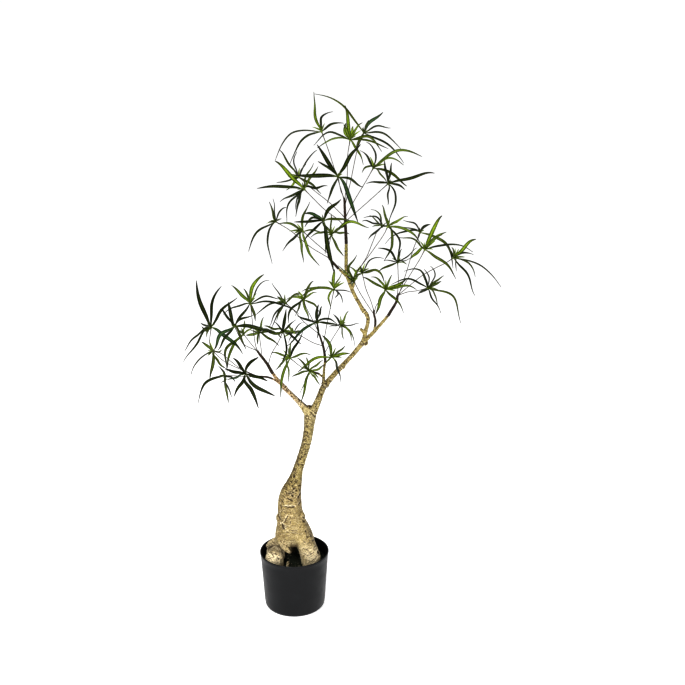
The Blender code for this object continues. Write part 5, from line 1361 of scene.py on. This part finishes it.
def make_leaf(hub, axis, leaf, lean, draw, finishes):
    """One strap-shaped leaf with a folded blade, a raised midrib below and a swaying line."""
    values = settings("leaf")
    kind, bearing, reach, bow = leaf
    grown = math.hypot(reach, lean)
    shares = np.linspace(0, 1, 13 + int(grown / 9)) ** 0.94
    line = blade_line(hub, axis, bearing, reach, bow, lean, shares)
    sight = EYE - np.array(hub)
    edge = np.cross(along(line), sight / np.linalg.norm(sight))
    sway = np.sin(shares * draw.uniform(5.5, 9) + draw.uniform(0, 6)) * np.clip(shares * 4, 0, 1)
    line += edge * (in_mm(values.sway) * min(1.0, reach / 60) * sway)[:, None]
    droop = in_mm(values.droop) * min(1.0, reach / 80) * draw.choice((-1.0, -0.8, -0.4, 0.35))
    line[:, 2] += droop * rise(shares, 0.72, 0.28) ** 2
    widths = values.breadth * blade_width(kind, reach) * outline_at(shares)
    item = rings_to_solid("leaf", blade_rings(line, along(line), hub, ROLL[kind[1]], widths, draw), finishes)
    count = len(SECTION)
    set_attribute(item, "along", np.repeat(shares, count))
    set_attribute(item, "across", np.tile([across for across, level in SECTION], len(shares)))
    set_attribute(item, "under", np.tile([float(place >= UNDERSIDE) for place in range(count)], len(shares)))
    tone = list(LEAF_TONES).index(kind[0])
    for face in item.data.polygons:
        face.material_index = tone
    return item


def make_bud(hub, axis, tone, draw, finishes):
    """The bud that the leaves grow from, and a few leaves that have only just opened round it."""
    hub = np.array(hub, float)
    pieces = [tube("bud", [(*(hub + axis * far), size) for far, size in BUD_OUTLINE], 10, finishes)]
    across = np.cross(axis, (0.3, 1.0, 0.2))
    across /= np.linalg.norm(across)
    up = np.cross(axis, across)
    start = draw.uniform(0, 2 * math.pi)
    shares = np.linspace(0, 1, 8)
    for number in range(YOUNG_LEAVES):
        turn = start + number * YOUNG_TURN
        out = across * math.cos(turn) + up * math.sin(turn)
        grown = draw.uniform(*YOUNG_LENGTHS[tone])
        line = np.array([hub + axis * (grown * share * 0.8) + out * (grown * share ** 1.5 * 0.75)
                         for share in shares])
        widths = (1.8 + 0.1 * grown) * outline_at(shares)
        rings = blade_rings(line, along(line), hub, YOUNG_ROLL, widths, draw, YOUNG_FOLD)
        pieces.append(rings_to_solid("young_leaf", rings, finishes))
    for piece in pieces:
        shade = list(LEAF_TONES).index(draw.choice(BUD_TONES[tone]))
        for name, value in (("along", 0.1), ("across", 0.3), ("under", 0.0)):
            set_attribute(piece, name, np.full(len(piece.data.vertices), value))
        for face in piece.data.polygons:
            face.material_index = shade
    return pieces


def make_sprays():
    """Each spray's bud and leaves as one piece."""
    twigs, stalks, axes, leans = lay_out()
    finishes = [leaf_finish(tone) for tone in LEAF_TONES.values()]
    for number, (spray, (tone, on_twig, hub, stalk, leaves)) in enumerate(SPRAYS.items()):
        draw = random.Random(FIRST_SEED + number)
        pieces = make_bud(hub, axes[spray], tone, draw, finishes)
        for leaf, lean in zip(leaves, leans[spray]):
            pieces.append(make_leaf(hub, axes[spray], leaf, lean, draw, finishes))
        item = joined("leaves_" + spray, pieces)
        smooth(item, 55)
        dress(item, "spray_" + spray)


def make_floor():
    """A pale floor that curves up into a backdrop far behind the tree."""
    reach, bend, back, height = 9.0, 3.0, 7.0, 6.0
    outline = [(-reach, 0.0), (back - bend, 0.0)]
    outline += [(back - bend + bend * math.sin(turn), bend - bend * math.cos(turn))
                for turn in np.radians(np.arange(6, 91, 6))]
    outline.append((back, height))
    points = [(side * reach, y, z) for y, z in outline for side in (-1, 1)]
    faces = [(2 * row, 2 * row + 1, 2 * row + 3, 2 * row + 2) for row in range(len(outline) - 1)]
    mesh = bpy.data.meshes.new("studio_floor")
    mesh.from_pydata(points, [], faces)
    mesh.materials.append(stage_finish())
    mesh.shade_smooth()
    floor = bpy.data.objects.new("studio_floor", mesh)
    bpy.context.scene.collection.objects.link(floor)


def add_light(name, place, aim, size, power):
    """A square soft light that looks at a point."""
    light = bpy.data.lights.new(name, "AREA")
    light.size = size
    light.energy = power
    item = bpy.data.objects.new(name, light)
    item.location = place
    item.rotation_euler = (Vector(aim) - Vector(place)).to_track_quat("-Z", "Y").to_euler()
    bpy.context.scene.collection.objects.link(item)


def make_studio():
    """The camera at the photograph's place, soft lights and a white room."""
    values = settings("stage")
    scene = bpy.context.scene
    camera = bpy.data.cameras.new("camera")
    camera.lens = values.focal * camera.sensor_width
    camera.clip_end = 100
    item = bpy.data.objects.new("camera", camera)
    item.location = EYE * MM
    item.rotation_euler = (math.pi / 2 - values.pitch, 0, 0)
    scene.collection.objects.link(item)
    scene.camera = item
    for name, (place, aim, size) in LIGHTS.items():
        add_light(name + "_light", place, aim, size, getattr(values, name))
    world = bpy.data.worlds.new("White room")
    world.use_nodes = True
    nodes, links = world.node_tree.nodes, world.node_tree.links
    nodes["Background"].inputs["Color"].default_value = (1, 1, 1, 1)
    # The room looks as bright as the floor, but lights the tree only softly.
    path, strength = nodes.new("ShaderNodeLightPath"), nodes.new("ShaderNodeMath")
    strength.operation = "MULTIPLY_ADD"
    links.new(path.outputs["Is Camera Ray"], strength.inputs[0])
    strength.inputs[1].default_value = values.distance - values.sky
    strength.inputs[2].default_value = values.sky
    links.new(strength.outputs["Value"], nodes["Background"].inputs["Strength"])
    scene.world = world
    scene.view_settings.view_transform = "Standard"
    scene.view_settings.gamma = values.depth


class PotOperator(bpy.types.Operator):
    """Make the black plastic pot"""
    bl_idname = "bottle_tree.pot"
    bl_label = "Pot"

    def execute(self, context):
        make_pot()
        return {"FINISHED"}


class TrunkOperator(bpy.types.Operator):
    """Make the trunk with its roots and limbs"""
    bl_idname = "bottle_tree.trunk"
    bl_label = "Trunk"

    def execute(self, context):
        make_trunk()
        return {"FINISHED"}


class SoilOperator(bpy.types.Operator):
    """Make the soil that the roots stand in, with its loose grains"""
    bl_idname = "bottle_tree.soil"
    bl_label = "Soil"

    def execute(self, context):
        make_soil()
        make_grains()
        return {"FINISHED"}


class TwigOperator(bpy.types.Operator):
    """Make the twigs with their stalks"""
    bl_idname = "bottle_tree.twigs"
    bl_label = "Twigs and stalks"

    def execute(self, context):
        make_twigs()
        return {"FINISHED"}


class LeafOperator(bpy.types.Operator):
    """Make the sprays of leaves with their buds"""
    bl_idname = "bottle_tree.leaves"
    bl_label = "Leaves"

    def execute(self, context):
        make_sprays()
        return {"FINISHED"}


class StageOperator(bpy.types.Operator):
    """Make the floor, the lights and the camera"""
    bl_idname = "bottle_tree.stage"
    bl_label = "Stage"

    def execute(self, context):
        make_floor()
        make_studio()
        return {"FINISHED"}


OPERATORS = (StageOperator, PotOperator, TrunkOperator, SoilOperator, TwigOperator, LeafOperator)


class TreePanel(bpy.types.Panel):
    """Lists what the tree is made of, with its sizes and colours"""
    bl_idname = "VIEW3D_PT_bottle_tree"
    bl_label = "Bottle tree"
    bl_space_type = "VIEW_3D"
    bl_region_type = "UI"
    bl_category = "Bottle tree"

    def draw(self, context):
        for operator in OPERATORS:
            self.layout.operator(operator.bl_idname)
        for group, kind in SETTINGS.items():
            box = self.layout.box()
            box.label(text=group.capitalize())
            for name in kind.__annotations__:
                box.prop(settings(group), name)


def register():
    """Add the settings, the operators and the panel."""
    for group, kind in SETTINGS.items():
        bpy.utils.register_class(kind)
        setattr(bpy.types.Scene, "bottle_tree_" + group, PointerProperty(type=kind))
    for kind in OPERATORS + (TreePanel,):
        bpy.utils.register_class(kind)


def unregister():
    """Take them all away again."""
    for kind in (TreePanel,) + OPERATORS:
        bpy.utils.unregister_class(kind)
    for group, kind in SETTINGS.items():
        delattr(bpy.types.Scene, "bottle_tree_" + group)
        bpy.utils.unregister_class(kind)


def main():
    """Make every piece in turn."""
    register()
    bpy.ops.bottle_tree.stage()
    bpy.ops.bottle_tree.pot()
    bpy.ops.bottle_tree.trunk()
    bpy.ops.bottle_tree.soil()
    bpy.ops.bottle_tree.twigs()
    bpy.ops.bottle_tree.leaves()


if __name__ == "__main__":
    main()
